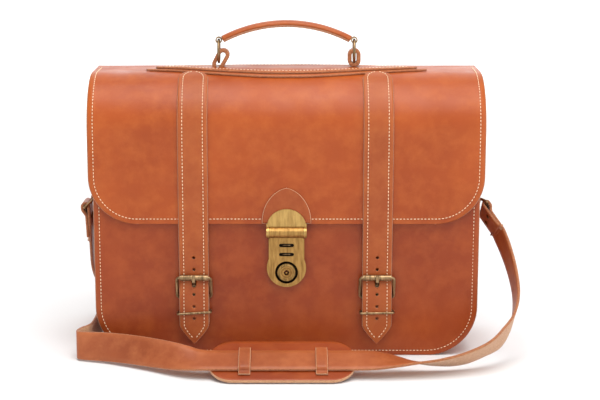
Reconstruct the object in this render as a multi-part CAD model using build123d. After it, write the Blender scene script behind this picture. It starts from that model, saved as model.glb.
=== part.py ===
from build123d import *
import math
import os

# Leather satchel with a hinged flap, two buckled tails, a turn lock, a carrying handle and a
# shoulder strap. Millimetres; +X to the right seen from the front, -Y to the front, +Z up. The
# origin is under the middle of the bag, on the ground.

# ---- driving dimensions ----
BODY_WIDTH = 385.0
FLAP_WIDTH = 393.0
FRONT_Y = -48.0  # outer face of the front panel
BACK_Y = 62.0  # outer face of the back panel
MID_Y = (FRONT_Y + BACK_Y) / 2
TOP_Z = 284.0  # outer face of the flap's top
PANEL = 2.8  # panel leather
FLAP_LEATHER = 3.2
GUSSET_LEATHER = 2.6
BODY_CORNER = 50.0
FRONT_PANEL_TOP = 236.0
GUSSET_TOP = 244.0
FLANGE = 9.0  # turned edge of the gusset behind each panel

FLAP_OUTER_Y = FRONT_Y - 4.8
FLAP_ROUND = 55.0
FLAP_EDGE_Z = 137.8
FLAP_CORNER = 47.0
HINGE_Z = TOP_Z - FLAP_LEATHER - 0.2
HINGE_GAP = 0.5
SEAM = 0.05  # glue line between stitched layers

BAND_X = {"left": -93.0, "right": 91.0}
BAND_WIDTH = 28.6
BAND_LEATHER = 3.0
BAND_TOP_Y = -9.4
TAIL_TIP_Z = 15.0
TAIL_TAPER = 19.0
HOLE_PITCH = 12.4
FIRST_HOLE_Z = 103.4
HOLE_RADIUS = 1.6
PRONG_HOLE = 2  # the prong sits in this hole, counted from the top

BAR_Z = 62.0  # buckle's hinge bar
BAR_Y = FRONT_Y - 3.5
BAR_RADIUS = 1.6
BUCKLE_RISE = 21.3
BUCKLE_LEAN = 5.3
BUCKLE_HALF = 17.0
BUCKLE_CORNER = 3.0
ROLLER_RADIUS = 3.0
ROLLER_LENGTH = 28.0
RUNNING_FIT = 0.06
CHAPE_WIDTH = 26.6
CHAPE_SHIFT = 1.6  # the chape shows a little beside the tail
CHAPE_LAYER = 1.5
CHAPE_BOTTOM = 16.5
CHAPE_JOIN = 29.5
CHAPE_RIVET_Z = 25.5
CHAPE_RIVET_X = 4.0
KEEPER_Z = 47.4
KEEPER_WIRE = 1.15
KEEPER_SKEW = {"left": -3.5, "right": -1.0}  # neither wire lies quite level

LOCK_Z = 87.9
LOCK_DISC = 19.7
LOCK_HALF = 17.8
ROLL_Z = 129.9
ROLL_RADIUS = 5.5
ROLL_Y = FRONT_Y - 8.9
ROLL_HALF = 17.0
KNUCKLE_HALF = 20.0
PIN_RADIUS = 1.6
HASP_BACK = FRONT_Y - 2.0
HASP_FRONT = HASP_BACK - 3.0
HASP_LIP = 1.4  # what is left in front of the recess that the bolt goes into
HASP_HOLE = 11.5
HASP_RECESS = 13.4
HASP_SLOT_ZS = (115.8, 106.5)
HASP_SLOT = (15.0, 3.6)
DISC_RISE = 4.7  # the round end's centre is above the hole's
BOSS_RADIUS = 9.6
BOSS_FRONT = FRONT_Y - 5.0
STEM_RADIUS = 6.6
PLUG_RADIUS = 4.5
PLUG_FACE = 6.5
BOLT_WIDTH = 6.0
BOLT_BACK = FRONT_Y - 2.3
BOLT_THICK = 1.0
BOLT_INNER = 4.65
BOLT_OUTER = 9.3

PLATE_HALF = 143.0
PLATE_DEPTH = 25.0
RING_X = 68.5
RING_RADIUS = 11.2
RING_WIRE = 1.3
RING_Z = TOP_Z + 20.2
GRIP_RADIUS = 140.0
GRIP_TOP = 332.3
GRIP_HALF_X = 64.2
CORE_SHORT = 10.0  # the core stops short of the clips' tongues
TONGUE_X = 60.5
ANCHOR_WIDTH = 13.0
ANCHOR_DEPTH = 11.0
ANCHOR_WALL = 3.0
ANCHOR_HEIGHT = {"left": 24.5, "right": 18.5}
ANCHOR_LEAN = {"left": 30.0, "right": 0.0}  # the left loop has bent over towards the handle
ANCHOR_RISE = {"left": 3.0, "right": 4.85}  # from the ring's lowest point to the loop's centre
GRIP_THICK = 7.0
GRIP_DEPTH = 15.0

D_WIRE = 1.5
D_HALF = 17.0

STRAP_WIDTH = 29.0
STRAP_LEATHER = 2.6
PAD_LENGTH = 142.0
PAD_WIDTH = 59.5
PAD_LEATHER = 4.0
PAD_TILT = 22.0
PAD_CENTRE = (-4.3, -113.4, 11.8)
PAD_ROUND = 24.0
BRIDGE_X = {"left": -36.5, "right": 38.5}
BRIDGE_WIDTH = 11.5

# The shoulder strap's centreline from the right-hand ring to the left-hand one, and the
# direction of its width at each point. Its smooth line is the quadratic B-spline of these points.
STRAP_ROUTE = [
    ((217.5, -7.0, 121.0), (-0.19, 0.76, -0.62)),
    ((225.0, -20.0, 103.0), (-0.16, 0.79, -0.58)),
    ((231.0, -35.0, 81.0), (-0.12, 0.88, -0.45)),
    ((233.0, -49.5, 61.0), (-0.05, 0.94, -0.33)),
    ((228.5, -63.5, 43.5), (0.12, 0.94, -0.31)),
    ((219.0, -78.0, 32.0), (0.37, 0.90, -0.23)),
    ((206.5, -93.0, 25.5), (0.54, 0.82, -0.17)),
    ((190.0, -102.5, 19.0), (0.54, 0.79, -0.30)),
    ((171.0, -109.5, 14.3), (0.48, 0.76, -0.44)),
    ((148.0, -114.0, 12.6), (0.38, 0.83, -0.41)),
    ((125.0, -115.3, 13.0), (0.12, 0.94, -0.28)),
    ((104.0, -116.6, 15.2), (0.05, 0.99, 0.10)),
    ((84.0, -117.6, 16.2), (0.0, 0.927, 0.375)),
    ((60.0, -117.5, 16.0), (0.0, 0.927, 0.375)),
    ((20.0, -117.6, 16.0), (0.0, 0.927, 0.375)),
    ((-25.0, -117.6, 16.0), (0.0, 0.927, 0.375)),
    ((-64.0, -117.6, 16.0), (0.0, 0.927, 0.375)),
    ((-88.0, -117.4, 16.2), (0.0, 0.917, 0.40)),
    ((-107.0, -109.5, 16.8), (0.10, 0.72, 0.68)),
    ((-130.0, -96.5, 17.0), (0.12, 0.52, 0.84)),
    ((-158.0, -82.0, 16.8), (0.10, 0.38, 0.92)),
    ((-183.0, -72.5, 16.3), (0.05, 0.20, 0.97)),
    ((-201.0, -69.0, 16.0), (0.0, 0.06, 1.0)),
    ((-211.5, -66.0, 16.0), (0.0, 0.0, 1.0)),
    ((-209.0, -53.0, 16.0), (0.0, 0.0, 1.0)),
    ((-200.5, -42.0, 16.0), (0.0, 0.0, 1.0)),
    ((-198.0, -27.0, 16.0), (0.0, 0.0, 1.0)),
    ((-197.6, 5.0, 16.0), (0.0, 0.0, 1.0)),
    ((-198.0, 40.0, 16.2), (0.0, 0.03, 1.0)),
    ((-200.5, 68.0, 17.5), (0.0, 0.06, 1.0)),
    ((-206.0, 88.0, 19.5), (0.0, 0.08, 0.99)),
    ((-203.0, 104.0, 23.0), (-0.10, 0.10, 0.98)),
    ((-194.0, 106.0, 30.0), (-0.20, 0.15, 0.95)),
    ((-194.0, 92.0, 42.0), (-0.10, 0.50, 0.86)),
    ((-203.0, 72.0, 56.0), (0.0, 0.66, 0.75)),
    ((-206.5, 50.0, 76.0), (0.0, 0.74, 0.67)),
    ((-205.0, 31.0, 97.0), (0.0, 0.86, 0.50)),
    ((-203.0, 15.0, 119.0), (0.0, 0.97, 0.22)),
]
STRAP_STEPS = 72
RIGHT_BAR = (205.4, 6.9, 139.9)
RIGHT_WIDTH_AXIS = (0.0, 0.775, -0.632)
RIGHT_APEX = (197.0, 12.9, 147.26)
RIGHT_DOWN = (0.49, -0.54, -0.68)
LEFT_BAR = (-206.6, 6.6, 145.5)
LEFT_WIDTH_AXIS = (0.0, 1.0, -0.02)
LEFT_APEX = (-197.0, 6.77, 153.8)
LEFT_DOWN = (0.05, 0.0, -1.0)
FOLD_RUN = 16.0  # from the bar to where the fold meets the strap
RIVET_DOWN = 11.0

SIDES = {"left": -1, "right": 1}


# ---- shared shapes ----
def front_plane(y):
    """Sketches drawn as (x, z) on the vertical plane at y; a positive extrusion comes forward."""
    return Plane.XZ.offset(-y)


def slab(sketch, y_back, thickness):
    return extrude(front_plane(y_back) * sketch, amount=thickness)


def across(profile, width, x_middle=0.0):
    """A closed (y, z) profile made as wide as the bag's width direction needs."""
    return Pos(x_middle, 0, 0) * extrude(Plane.YZ * profile, amount=width / 2, both=True)


def rod_x(y, z, radius, length, x_middle=0.0):
    return Pos(x_middle, y, z) * Rot(0, 90, 0) * Cylinder(radius, length)


def rod_y(x, z, radius, y_back, y_front):
    return slab(Pos(x, z) * Circle(radius), y_back, y_back - y_front)


def outline(width, height, corner, z_bottom=0.0):
    """A panel's (x, z) outline: square at the top, round at both lower corners."""
    shape = Pos(0, z_bottom + height / 2) * Rectangle(width, height)
    return fillet(shape.vertices().group_by(Axis.Y)[0], corner)


def pointed(half, top, tip):
    """A strap end's (x, z) outline: straight sides down from top, then an eased point at tip."""
    shoulder = tip + TAIL_TAPER
    waist_x, waist_z = half * 0.56, tip + TAIL_TAPER * 0.4
    return make_face(
        [
            Line((-half, top), (half, top)),
            Line((half, top), (half, shoulder)),
            ThreePointArc((half, shoulder), (waist_x, waist_z), (0, tip)),
            ThreePointArc((0, tip), (-waist_x, waist_z), (-half, shoulder)),
            Line((-half, shoulder), (-half, top)),
        ]
    )


def thick_line(points, thickness):
    """A closed outline of even thickness along an open line of (y, z) points."""
    sides = [[], []]
    last = len(points) - 1
    for i, (a, b) in enumerate(points):
        before, after = points[max(i - 1, 0)], points[min(i + 1, last)]
        headings = []
        for p, q in ((before, (a, b)), ((a, b), after)):
            length = math.hypot(q[0] - p[0], q[1] - p[1])
            if length > 0:
                headings.append(((q[0] - p[0]) / length, (q[1] - p[1]) / length))
        na = sum(-h[1] for h in headings) / len(headings)
        nb = sum(h[0] for h in headings) / len(headings)
        scale = thickness / 2 / (na * na + nb * nb)
        for side, sign in zip(sides, (1, -1)):
            side.append((a + sign * na * scale, b + sign * nb * scale))
    return make_face(Polyline(*(sides[0] + sides[1][::-1]), close=True))


def flap_line(offset, y_start, z_end):
    """The flap's outer surface, moved outwards by offset, as an open (y, z) wire."""
    centre = (FLAP_OUTER_Y + FLAP_ROUND, TOP_Z - FLAP_ROUND)
    radius = FLAP_ROUND + offset
    turned = radius * math.sqrt(0.5)
    top = (centre[0], centre[1] + radius)
    middle = (centre[0] - turned, centre[1] + turned)
    front = (centre[0] - radius, centre[1])
    return [
        Line((y_start, top[1]), top),
        ThreePointArc(top, middle, front),
        Line(front, (front[0], z_end)),
    ]


def flap_skin(inside, outside, y_start, z_end):
    """The (y, z) profile of a layer that follows the flap between two offsets."""
    inner, outer = flap_line(inside, y_start, z_end), flap_line(outside, y_start, z_end)
    ends = [
        Line(inner[0] @ 0, outer[0] @ 0),
        Line(inner[-1] @ 1, outer[-1] @ 1),
    ]
    return make_face([*inner, *outer, *ends])


# ---- the body ----
def back_panel():
    return slab(outline(BODY_WIDTH, HINGE_Z - 0.2, BODY_CORNER), BACK_Y, PANEL)


def front_panel():
    panel = slab(outline(BODY_WIDTH, FRONT_PANEL_TOP, BODY_CORNER), FRONT_Y + PANEL, PANEL)
    return panel - rod_y(0, LOCK_Z, STEM_RADIUS + 0.1, FRONT_Y + 5, FRONT_Y - 5)


def gusset():
    """One strip up both sides and along the bottom, with its edges turned in behind the panels."""
    y_back, y_front = BACK_Y - PANEL, FRONT_Y + PANEL
    depth = y_back - y_front
    strip = slab(outline(BODY_WIDTH, GUSSET_TOP, BODY_CORNER), y_back, depth)
    room = 60.0  # the hollow runs out past the open top
    wide = outline(
        BODY_WIDTH - 2 * GUSSET_LEATHER,
        GUSSET_TOP + room,
        BODY_CORNER - GUSSET_LEATHER,
        GUSSET_LEATHER,
    )
    narrow = outline(
        BODY_WIDTH - 2 * FLANGE, GUSSET_TOP + room, BODY_CORNER - FLANGE, FLANGE
    )
    middle = slab(wide, y_back - GUSSET_LEATHER, depth - 2 * GUSSET_LEATHER)
    return strip - middle - slab(narrow, y_back + 1, depth + 2)


def chape(side):
    """A strap folded round the buckle's hinge bar; the keeper runs between its two layers."""
    radius_in = BAR_RADIUS + 0.35
    radius_out = radius_in + CHAPE_LAYER
    height_out, height_in = BAR_Z - CHAPE_BOTTOM, BAR_Z - CHAPE_JOIN
    outer = Pos(BAR_Y, BAR_Z) * Circle(radius_out)
    outer += Pos(BAR_Y, BAR_Z - height_out / 2) * Rectangle(2 * radius_out, height_out)
    inner = Pos(BAR_Y, BAR_Z) * Circle(radius_in)
    inner += Pos(BAR_Y, BAR_Z - height_in / 2) * Rectangle(2 * radius_in, height_in)
    x = BAND_X[side] + CHAPE_SHIFT
    strip = across(outer - inner, CHAPE_WIDTH, x)
    prong_slot = Pos(BAND_X[side], BAR_Y, BAR_Z) * Box(6.4, 12, 12)
    strip -= prong_slot
    strip &= slab(Pos(x, 0) * pointed(CHAPE_WIDTH / 2, BAR_Z + 10, CHAPE_BOTTOM), FRONT_Y + 5, 30)
    for dx in (-CHAPE_RIVET_X, CHAPE_RIVET_X):
        strip -= rod_y(x + dx, CHAPE_RIVET_Z, 1.2, FRONT_Y, FRONT_Y - 9)
    return strip


def chape_rivets():
    """Two flat rivets through the lower end of each chape."""
    made = []
    front = BAR_Y - BAR_RADIUS - 0.35 - CHAPE_LAYER
    for side in SIDES:
        for dx in (-CHAPE_RIVET_X, CHAPE_RIVET_X):
            x = BAND_X[side] + CHAPE_SHIFT + dx
            shank = rod_y(x, CHAPE_RIVET_Z, 1.15, FRONT_Y - 0.1, front - 0.05)
            head = rod_y(x, CHAPE_RIVET_Z, 2.6, front - 0.02, front - 0.2)
            made.append(shank + head)
    return made


def side_tab(side):
    """A folded leather tab on the gusset; its rolled end holds the strap's ring."""
    apex, axis = (RIGHT_APEX, RIGHT_WIDTH_AXIS) if side == "right" else (LEFT_APEX, LEFT_WIDTH_AXIS)
    sign = SIDES[side]
    tilt = math.degrees(math.atan2(-axis[2], axis[1]))
    depth, roll = 12.0, 4.3
    throat, mouth = D_WIRE + 0.4, D_WIRE + 1.5  # the bore opens out to suit the ring's arc
    wall_x = BODY_WIDTH / 2 + 0.05
    thickness = 3.6
    # drawn with its fold along Y at the origin and its tail upwards, then turned into place
    reach = abs(apex[0]) - wall_x
    loop = Rot(90, 0, 0) * Cylinder(roll, depth)
    neck = Pos(-sign * (reach - thickness) / 2, 0, 5) * Box(thickness + reach, depth, 10)
    tail = Pos(-sign * (reach - thickness / 2), 0, 13.5) * Box(thickness, depth, 22)
    tab = loop + neck + tail
    for turn in (90, -90):
        bell = Pos(0, 0, depth / 4 + 0.05) * Cone(throat, mouth, depth / 2 + 0.1)
        tab -= Rot(turn, 0, 0) * bell
    tab -= Pos(-sign * (reach - thickness / 2), 0, 17) * Rot(0, 90, 0) * Cylinder(1.55, 20)
    tab = Pos(*apex) * Rot(-tilt, 0, 0) * tab
    keep_out = Pos(0, 0, apex[2]) * Box(2 * wall_x, 200, 200)
    return tab - keep_out


def tab_rivets():
    made = []
    for side, sign in SIDES.items():
        apex, axis = (
            (RIGHT_APEX, RIGHT_WIDTH_AXIS) if side == "right" else (LEFT_APEX, LEFT_WIDTH_AXIS)
        )
        tilt = math.degrees(math.atan2(-axis[2], axis[1]))
        face = BODY_WIDTH / 2 + 0.05 + 3.6
        shank_length = 3.5
        shank = Pos(sign * (face + 0.4 - shank_length / 2), 0, 0) * Rot(0, 90, 0)
        rivet = shank * Cylinder(1.5, shank_length)
        cap = Pos(sign * (face + 0.45), 0, 0) * Rot(0, 90, 0) * Cylinder(3.4, 0.8)
        cap = fillet(cap.edges().sort_by(Axis.X)[-1 if sign > 0 else 0], 0.6)
        place = Pos(0, apex[1], apex[2]) * Rot(-tilt, 0, 0) * Pos(0, 0, 17)
        made.append(place * (rivet + cap))
    return made


# ---- the lock ----
def lock_boss():
    """The fixed boss on the front panel: flange, tapered nose, hollow stem and the bolt's channel."""
    flange = rod_y(0, LOCK_Z, 15.5, FRONT_Y - 0.02, FRONT_Y - 1.2)
    height = FRONT_Y - 1.2 - BOSS_FRONT
    nose = Pos(0, FRONT_Y - 1.2 - height / 2, LOCK_Z) * Rot(90, 0, 0)
    nose = nose * Cone(BOSS_RADIUS, BOSS_RADIUS - 0.7, height)
    stem = rod_y(0, LOCK_Z, STEM_RADIUS, FRONT_Y + 7.0, FRONT_Y - 0.5)
    bore = rod_y(0, LOCK_Z, PLUG_RADIUS + RUNNING_FIT, FRONT_Y + 9, FRONT_Y - 9)
    seat = rod_y(0, LOCK_Z, PLUG_FACE + 0.15, BOSS_FRONT + 1.3, BOSS_FRONT - 5)
    groove_y = BOLT_BACK - BOLT_THICK / 2
    channel = Pos(0, groove_y, LOCK_Z - 10) * Box(BOLT_WIDTH + 0.3, BOLT_THICK + 0.3, 20)
    return flange + nose + stem - bore - seat - channel


def lock_nut():
    """The hexagonal nut that clamps the boss from inside the front panel."""
    ring = Pos(0, LOCK_Z) * (RegularPolygon(12.5, 6) - Circle(STEM_RADIUS + 0.05))
    return slab(ring, FRONT_Y + PANEL + 2.6, 2.5)


def lock_bolt():
    """A short bolt in the boss; the plug drives it down behind the hasp's lip to lock."""
    block = Rectangle(BOLT_WIDTH, BOLT_OUTER - BOLT_INNER)
    middle = LOCK_Z - (BOLT_OUTER + BOLT_INNER) / 2
    return slab(Pos(0, middle) * block, BOLT_BACK, BOLT_THICK)


def lock_plug():
    """The key plug: barrel, and a stepped face with a round keyway."""
    back, seat = FRONT_Y + 9.0, BOSS_FRONT + 1.2
    barrel = slab(Pos(0, LOCK_Z) * Circle(PLUG_RADIUS), back, back - seat)
    face = slab(Pos(0, LOCK_Z) * Circle(PLUG_FACE), seat, 1.7)
    ridge = slab(Pos(0, LOCK_Z) * (Circle(5.4) - Circle(4.5)), seat - 1.2, 1.0)
    ward = slab(Pos(0, LOCK_Z) * Circle(3.6), seat - 1.5, 0.9)
    keyway = Circle(2.7) - Circle(0.9)
    keyway = slab(Pos(0, LOCK_Z) * keyway, seat + 4, 10)
    groove = slab(Pos(0, LOCK_Z) * (Circle(8.0) - Circle(PLUG_RADIUS - 0.6)), FRONT_Y + 8.4, 0.9)
    return barrel + face + ward - ridge - keyway - groove


def lock_clip():
    """The split washer in the plug's rear groove, behind the stem."""
    ring = Circle(6.6) - Circle(PLUG_RADIUS - 0.55)
    ring -= Pos(0, -6) * Rectangle(4, 8)
    return slab(Pos(0, LOCK_Z) * ring, FRONT_Y + 8.3, 0.7)


def lock_patch():
    """The arched leather patch behind the lock's head."""
    z_low, half = FLAP_EDGE_Z + 1.2, 24.2
    arch = make_face(
        [
            Line((-half, z_low), (half, z_low)),
            ThreePointArc((half, z_low), (half * 0.74, z_low + 22.0), (0, z_low + 35.4)),
            ThreePointArc((0, z_low + 35.4), (-half * 0.74, z_low + 22.0), (-half, z_low)),
        ]
    )
    return slab(arch, FLAP_OUTER_Y - SEAM, 2.0)


def lock_head():
    """The half-round head plate with a hinge knuckle at each end."""
    back = FLAP_OUTER_Y - SEAM - 2.05
    half = 19.4
    low = ROLL_Z + ROLL_RADIUS + 0.35
    disc = Pos(0, low) * (Circle(half) & Pos(0, half) * Rectangle(2 * half, 2 * half))
    disc = Pos(0, low) * scale(Pos(0, -low) * disc, (1, 0.92, 1))
    head = slab(disc, back, 1.6)
    for sign in (-1, 1):
        x = sign * (ROLL_HALF + 0.3 + KNUCKLE_HALF) / 2
        width = KNUCKLE_HALF - ROLL_HALF - 0.3
        lug = rod_x(ROLL_Y, ROLL_Z, ROLL_RADIUS, width, x)
        web_low, web_high = ROLL_Z, low + 3
        web = Pos(x, back - 0.8, (web_low + web_high) / 2) * Box(width, 1.6, web_high - web_low)
        head += lug + web
    return head - rod_x(ROLL_Y, ROLL_Z, PIN_RADIUS + 0.02, 60)


def lock_pin():
    return rod_x(ROLL_Y, ROLL_Z, PIN_RADIUS, 2 * KNUCKLE_HALF - 0.6)


def lock_hasp():
    """The swinging plate: rolled top, two slots and a round end that goes over the boss."""
    thickness = HASP_BACK - HASP_FRONT
    plate_top = ROLL_Z + 1.5
    neck = 9.0  # narrower between the knuckles
    middle = (plate_top - neck + LOCK_Z) / 2
    body = Pos(0, middle) * Rectangle(2 * LOCK_HALF, plate_top - neck - LOCK_Z)
    body += Pos(0, plate_top - neck / 2) * Rectangle(2 * ROLL_HALF, neck)
    body += Pos(0, LOCK_Z + DISC_RISE) * Circle(LOCK_DISC)
    for z in HASP_SLOT_ZS:
        body -= Pos(0, z) * SlotOverall(*HASP_SLOT)
    hasp = slab(body, HASP_BACK, thickness)
    hasp += rod_x(ROLL_Y, ROLL_Z, ROLL_RADIUS, 2 * ROLL_HALF)
    hasp -= rod_x(ROLL_Y, ROLL_Z, PIN_RADIUS + RUNNING_FIT, 80)
    hasp -= rod_y(0, LOCK_Z, HASP_HOLE, HASP_BACK + 1, HASP_FRONT - 1)
    return hasp - rod_y(0, LOCK_Z, HASP_RECESS, HASP_BACK + 1, HASP_FRONT + HASP_LIP)


# ---- the flap ----
def flap_panel():
    profile = flap_skin(-FLAP_LEATHER, 0, BACK_Y - HINGE_GAP, FLAP_EDGE_Z)
    sheet = across(profile, FLAP_WIDTH)
    height = 200.0
    face = outline(FLAP_WIDTH, height, FLAP_CORNER, FLAP_EDGE_Z)
    return sheet & slab(face, BACK_Y + 10, BACK_Y - FLAP_OUTER_Y + 30)


def band(side):
    """The strip stitched over the flap, round at its top end."""
    profile = flap_skin(SEAM, SEAM + BAND_LEATHER, BACK_Y, FLAP_EDGE_Z)
    strip = across(profile, BAND_WIDTH, BAND_X[side])
    end = Pos(BAND_X[side], BAND_TOP_Y - BAND_WIDTH / 2) * Circle(BAND_WIDTH / 2)
    run = 80.0
    end += Pos(BAND_X[side], BAND_TOP_Y - BAND_WIDTH / 2 - run / 2) * Rectangle(BAND_WIDTH, run)
    return strip & extrude(end, amount=TOP_Z + 20)


def tail_profile():
    y = FLAP_OUTER_Y - SEAM - BAND_LEATHER / 2
    over_bar = BAR_Y - BAR_RADIUS - 0.35 - CHAPE_LAYER - 0.3 - BAND_LEATHER / 2
    under_roller = BAR_Y - BUCKLE_LEAN + ROLLER_RADIUS + 0.3 + BAND_LEATHER / 2
    roller_z = BAR_Z + BUCKLE_RISE
    return [
        (y, FLAP_EDGE_Z - 0.05),
        (y, 122.0),
        (under_roller - 0.6, 98.0),
        (under_roller, roller_z + 3.0),
        (under_roller - 0.1, roller_z - 2.0),
        (over_bar, BAR_Z + 6.5),
        (over_bar, TAIL_TIP_Z),
    ]


def tail(side):
    """The free end below the flap: through the buckle, over the chape and through the keeper."""
    x = BAND_X[side]
    strip = across(thick_line(tail_profile(), BAND_LEATHER), BAND_WIDTH, x)
    face = pointed(BAND_WIDTH / 2, FLAP_EDGE_Z + 5, TAIL_TIP_Z)
    for number in range(6):
        z = FIRST_HOLE_Z - number * HOLE_PITCH
        if number == PRONG_HOLE:
            face -= Pos(0, z - 1.0) * Rectangle(4.6, 7.4)
        else:
            face -= Pos(0, z) * Circle(HOLE_RADIUS)
    return strip & slab(Pos(x, 0) * face, FRONT_Y + 5, 30)


def eye(half, depth):
    """A pointed oval, half long each way and depth deep each way, round at its tips."""
    rounding = 2.5
    half += 1.9 * rounding  # what the rounding takes off each tip
    radius = (half * half + depth * depth) / (2 * depth)
    lens = Pos(0, -(radius - depth)) * Circle(radius) & Pos(0, radius - depth) * Circle(radius)
    return fillet(lens.vertices(), rounding)


def handle_plate(half, depth, inside, outside):
    """One layer of the pointed-oval base under the handle."""
    profile = flap_skin(inside, outside, BACK_Y + 5, TOP_Z - 60)
    layer = across(profile, 2 * half + 20)
    return layer & extrude(Pos(0, MID_Y) * eye(half, depth), amount=TOP_Z + 40)


def handle_anchor(side):
    """A leather loop that comes up out of the base; the handle's ring hangs through it."""
    height, wall = ANCHOR_HEIGHT[side], ANCHOR_WALL
    loop = SlotOverall(height, ANCHOR_WIDTH)
    loop -= SlotOverall(height - 2 * wall, ANCHOR_WIDTH - 2 * wall)
    low_point = Pos(SIDES[side] * RING_X, RING_Z - RING_RADIUS)
    shape = low_point * Rot(0, 0, 90 - ANCHOR_LEAN[side]) * Pos(ANCHOR_RISE[side], 0) * loop
    base, room = TOP_Z + 4.6, 60.0
    above = Pos(SIDES[side] * RING_X, base + room / 2) * Rectangle(room, room)
    return slab(shape & above, MID_Y + ANCHOR_DEPTH / 2, ANCHOR_DEPTH)


# ---- the buckles ----
def buckle_tilt():
    return math.degrees(math.atan2(BUCKLE_LEAN, BUCKLE_RISE))


def buckle_frame(side):
    """A rounded rectangle of wire; its lower bar is the hinge bar."""
    height = math.hypot(BUCKLE_RISE, BUCKLE_LEAN)
    path = Rectangle(2 * BUCKLE_HALF, height)
    path = fillet(path.vertices(), BUCKLE_CORNER)
    wire = path.wire()
    place = Pos(BAND_X[side], BAR_Y, BAR_Z) * Rot(90 + buckle_tilt(), 0, 0) * Pos(0, height / 2, 0)
    start = Plane(origin=wire @ 0, z_dir=wire % 0)
    frame = sweep(start * Circle(BAR_RADIUS), path=wire)
    return place * frame


def buckle_roller(side):
    y, z = BAR_Y - BUCKLE_LEAN, BAR_Z + BUCKLE_RISE
    tube = rod_x(y, z, ROLLER_RADIUS, ROLLER_LENGTH, BAND_X[side])
    return tube - rod_x(y, z, BAR_RADIUS + RUNNING_FIT, 60, BAND_X[side])


def buckle_prong(side):
    """Pivots on the hinge bar, comes through the tail and rests on the roller."""
    line = [
        (BAR_Y, BAR_Z),
        (BAR_Y + 0.2, BAR_Z + 8.0),
        (BAR_Y + 0.5, BAR_Z + 13.0),
        (BAR_Y - 1.0, BAR_Z + 15.8),
        (BAR_Y - 5.5, BAR_Z + 16.8),
        (BAR_Y - 9.8, BAR_Z + 18.5),
        (BAR_Y - 10.2, BAR_Z + 22.2),
        (BAR_Y - 9.8, BAR_Z + 24.4),
    ]
    prong = across(thick_line(line, 2.0), 3.0, BAND_X[side])
    prong += rod_x(BAR_Y, BAR_Z, 3.1, 4.4, BAND_X[side])
    return prong - rod_x(BAR_Y, BAR_Z, BAR_RADIUS + RUNNING_FIT, 20, BAND_X[side])


def keeper(side):
    """A wire loop round the tail and the chape's front layer."""
    back = BAR_Y
    front = BAR_Y - BAR_RADIUS - 0.35 - CHAPE_LAYER - 0.3 - BAND_LEATHER - KEEPER_WIRE - 0.35
    half = BAND_WIDTH / 2 + 1.3 + KEEPER_WIRE
    path = fillet(Rectangle(2 * half, back - front).vertices(), 1.6)
    wire = path.wire()
    loop = sweep(Plane(origin=wire @ 0, z_dir=wire % 0) * Circle(KEEPER_WIRE), path=wire)
    return Pos(BAND_X[side], (back + front) / 2, KEEPER_Z) * Rot(0, KEEPER_SKEW[side], 0) * loop


# ---- the handle ----
def handle_ring(side):
    x = SIDES[side] * RING_X
    return Pos(x, MID_Y, RING_Z) * Rot(0, 90, 0) * Torus(RING_RADIUS, RING_WIRE)


def arched(section, half_x):
    """An oval section carried round the handle's arch, out to half_x each side."""
    centre_z = GRIP_TOP - GRIP_RADIUS
    angle = math.degrees(math.asin(half_x / GRIP_RADIUS))
    crown = Plane(origin=(0, 0, GRIP_RADIUS), x_dir=(0, 1, 0), z_dir=(1, 0, 0))
    turn = Rot(0, -angle, 0) * revolve(crown * section, Axis.Y, 2 * angle)
    return Pos(0, MID_Y, centre_z) * turn


def clip_tongue(side):
    """The flat tongue along the grip's middle line, inside its hollow end."""
    tilt = math.degrees(math.asin(TONGUE_X / GRIP_RADIUS)) * SIDES[side]
    pivot = Pos(0, MID_Y, GRIP_TOP - GRIP_RADIUS) * Rot(0, tilt, 0)
    return pivot * Pos(0, 0, GRIP_RADIUS) * Box(12, 6.4, 1.2)


def handle_grip():
    """Leather rolled round the core; the clips' tongues sit in its hollow ends."""
    hollow = Ellipse(GRIP_DEPTH / 2 - 2.3, GRIP_THICK / 2 - 2.3)
    return arched(Ellipse(GRIP_DEPTH / 2, GRIP_THICK / 2) - hollow, GRIP_HALF_X)


def handle_core():
    return arched(Ellipse(GRIP_DEPTH / 2 - 2.4, GRIP_THICK / 2 - 2.4), GRIP_HALF_X - CORE_SHORT)


def handle_clip(side):
    """A metal eye round the ring's top with a tongue inside the handle's end."""
    x = SIDES[side] * RING_X
    top = RING_Z + RING_RADIUS
    length = 6.4
    eye_tube = Pos(x, MID_Y, top) * Rot(90, 0, 0) * Cylinder(3.4, length)
    clip = eye_tube + clip_tongue(side)
    return clip - Pos(x, MID_Y, top) * Rot(90, 0, 0) * Cylinder(2.2, 30)


# ---- the shoulder strap ----
def blend_spline(values, t):
    """The quadratic B-spline with clamped ends of a list of tuples, at t from 0 to 1."""
    spans = len(values) - 2
    knots = [0, 0] + list(range(spans + 1)) + [spans, spans]
    u = min(t * spans, spans - 1e-9)
    k = int(u) + 2
    local = [values[k - 2 + j] for j in range(3)]
    for level in (1, 2):
        for j in range(2, level - 1, -1):
            low = knots[k - 2 + j]
            high = knots[k + 1 + j - level]
            a = (u - low) / (high - low)
            local[j] = tuple((1 - a) * p + a * q for p, q in zip(local[j - 1], local[j]))
    return local[2]


def fold_plane(side):
    """A plane at the ring's bar: x along the bar, y from the bar down the strap."""
    right = side == "right"
    bar = RIGHT_BAR if right else LEFT_BAR
    width = Vector(*(RIGHT_WIDTH_AXIS if right else LEFT_WIDTH_AXIS)).normalized()
    down = Vector(*(RIGHT_DOWN if right else LEFT_DOWN))
    down = (down - width * down.dot(width)).normalized()
    return Plane(origin=bar, x_dir=width, z_dir=width.cross(down))


def strap_end(side):
    """Where the strap meets its fold: the centre, the width direction and the way it leads off."""
    sign = SIDES[side]
    plane = fold_plane(side)
    beside = plane.z_dir * (sign * (D_WIRE + 0.45 + STRAP_LEATHER / 2))
    return plane.origin + beside + plane.y_dir * (FOLD_RUN + 0.2), plane.x_dir, plane.y_dir


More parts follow.
